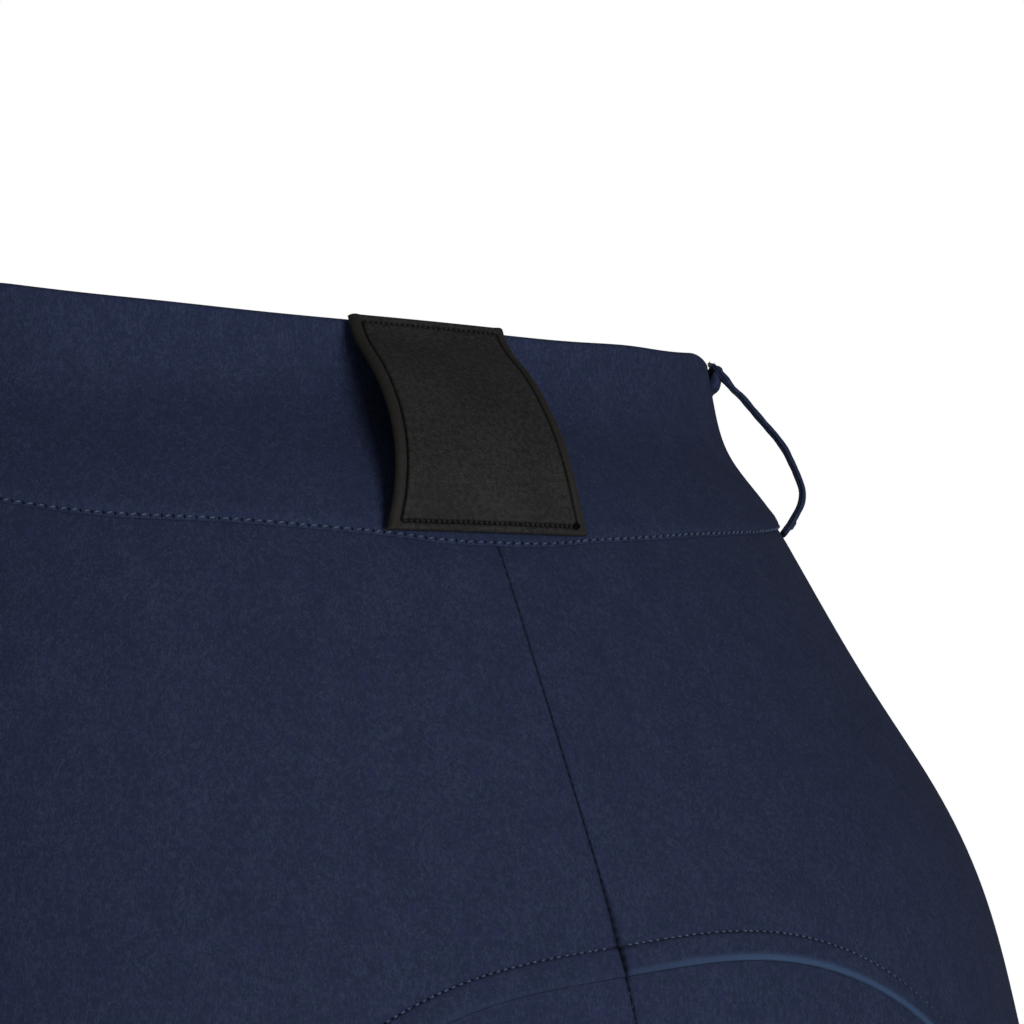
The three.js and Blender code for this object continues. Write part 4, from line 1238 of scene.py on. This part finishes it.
def make_fold(name, angle, bow, turn):
    """Lumpy roll across a loop's back, closed at both ends."""
    middle, sideways, _ = loop_path(angle, bow)(np.array(FOLD["at"]))
    places, turns = FOLD["places"], FOLD["turns"]
    across = np.linspace(-FOLD["half"], FOLD["half"], places)[:, None]
    round_it = (np.arange(turns) * 2 * np.pi / turns)[None, :]
    end = np.sqrt(np.clip(1 - np.abs(across / FOLD["half"]) ** 5, 0.0006, 1))
    lobes = 1 + 0.17 * np.sin(3 * round_it + turn + 1.5 * across) * end
    lobes = lobes + 0.1 * np.sin(7 * across + 2 * round_it + turn)
    tall = FOLD["tall"] * end * lobes * np.sin(round_it)
    deep = FOLD["deep"] * end * lobes * np.cos(round_it)
    side, u = around(angle + across * 0)
    away = worn(side, u, band_top(u) - FOLD["below_top"], 0.0, creased=False)[1]
    base = middle + sideways * (across * LOOP["width"] / 2)[..., None] + 0 * tall[..., None]
    base = base + np.array((0, 0, 1.0)) * tall[..., None]
    spots = base + away * (FOLD["press"] * deep - FOLD["back"] + 0.05 * tall)[..., None]
    rows, columns = np.meshgrid(np.arange(places - 1), np.arange(turns), indexing="ij")
    r, c = rows.ravel(), columns.ravel()
    d = (c + 1) % turns
    faces = np.stack([r * turns + c, (r + 1) * turns + c, (r + 1) * turns + d, r * turns + d], 1)
    points = np.concatenate([spots.reshape(-1, 3), spots[:1].mean(1), spots[-1:].mean(1)])
    first, last = places * turns, places * turns + 1
    c = np.arange(0, turns, 2)
    caps = np.concatenate([
        np.stack([first + 0 * c, c, c + 1, (c + 2) % turns], 1),
        np.stack([last + 0 * c, last - 1 - turns + (c + 2) % turns, last - 1 - turns + c + 1,
                  last - 1 - turns + c], 1)])
    faces = np.concatenate([faces, caps])
    piece = mesh_piece(name, points, faces, MATERIALS["band"],
                       {"cloth_mm": points[faces.ravel()],
                        "stitch_mm": np.tile((0, FAR, 0), (faces.size, 1))})
    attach(piece, "root")
    return piece


FOLD_PIECES = {name: make_fold(name + "_turned_end", *sizes) for name, sizes in LOOPS.items()}

# Floor, light and camera


def make_floor():
    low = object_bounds()[0]
    size = 14.0
    mesh = bpy.data.meshes.new("floor")
    corners = [(-size, -size, low.z), (size, -size, low.z), (size, size, low.z),
               (-size, size, low.z)]
    mesh.from_pydata(corners, [], [(0, 1, 2, 3)])
    floor = bpy.data.objects.new("floor", mesh)
    bpy.context.scene.collection.objects.link(floor)
    made, tree, shader = new_material("floor", Roughness=0.8)
    speckle = noise(tree, scaled(tree, object_place(tree), 3, 3, 3), 2.0)
    tree.links.new(mixed(tree, speckle, (0.80, 0.80, 0.80), (0.86, 0.86, 0.86)),
                   shader.inputs["Base Color"])
    mesh.materials.append(made)


def area_light(name, place, target, size, power):
    data = bpy.data.lights.new(name, "AREA")
    data.shape = "DISK"
    data.size = size
    data.energy = power
    light = bpy.data.objects.new(name, data)
    light.location = place
    aim = Vector(target) - Vector(place)
    light.rotation_mode = "QUATERNION"
    light.rotation_quaternion = aim.to_track_quat("-Z", "Y")
    bpy.context.scene.collection.objects.link(light)
    return light


def camera_axes():
    a, e = math.radians(CAMERA["azimuth"]), math.radians(CAMERA["elevation"])
    back = Vector((math.sin(a) * math.cos(e), -math.cos(a) * math.cos(e), math.sin(e)))
    right = Vector((math.cos(a), math.sin(a), 0))
    return back, right, back.cross(right)


def make_camera():
    back, right, up = camera_axes()
    data = bpy.data.cameras.new("camera")
    data.lens = CAMERA["lens"]
    data.sensor_width = CAMERA["sensor"]
    data.clip_end = 60
    camera = bpy.data.objects.new("camera", data)
    camera.location = METRE * (back * CAMERA["distance"] + right * CAMERA["right"]
                               + up * CAMERA["up"])
    camera.rotation_mode = "QUATERNION"
    camera.rotation_quaternion = (-back).to_track_quat("-Z", "Y")
    bpy.context.scene.collection.objects.link(camera)
    bpy.context.scene.camera = camera


WORLD_LIGHT = 0.27
WAIST_SPOT = (0, 0.08, -0.1)
LEG_SPOT = (0, 0, -0.45)

# Lights: name, what it is aimed at, then in metres how far it stands from there towards the
# camera, to the right and up, its size, and its power in watts
LIGHTS = [
    ("key", WAIST_SPOT, 2.4, 1.15, -0.05, 1.0, 60),
    ("side", WAIST_SPOT, 1.0, 1.5, 1.1, 0.6, 1.5),
    ("front", LEG_SPOT, -3.2, -0.9, 0.9, 1.6, 75),
]


def make_lights():
    back, right, up = camera_axes()
    for name, aim, nearer, sideways, higher, size, power in LIGHTS:
        aim = Vector(aim)
        spot = aim + back * nearer + right * sideways + up * higher
        light = area_light(name, spot, aim, size, power)
        light.visible_camera = name != "front"
    world = bpy.data.worlds.new("studio")
    bpy.context.scene.world = world
    world.use_nodes = True
    background = world.node_tree.nodes["Background"]
    background.inputs["Color"].default_value = (1, 1, 1, 1)
    seen = node(world.node_tree, "ShaderNodeLightPath").outputs["Is Camera Ray"]
    strength = mapped(world.node_tree, seen, 0, 1, WORLD_LIGHT, 1.0)
    world.node_tree.links.new(strength, background.inputs["Strength"])
    bpy.context.scene.view_settings.view_transform = "Standard"


make_floor()
make_lights()
make_camera()
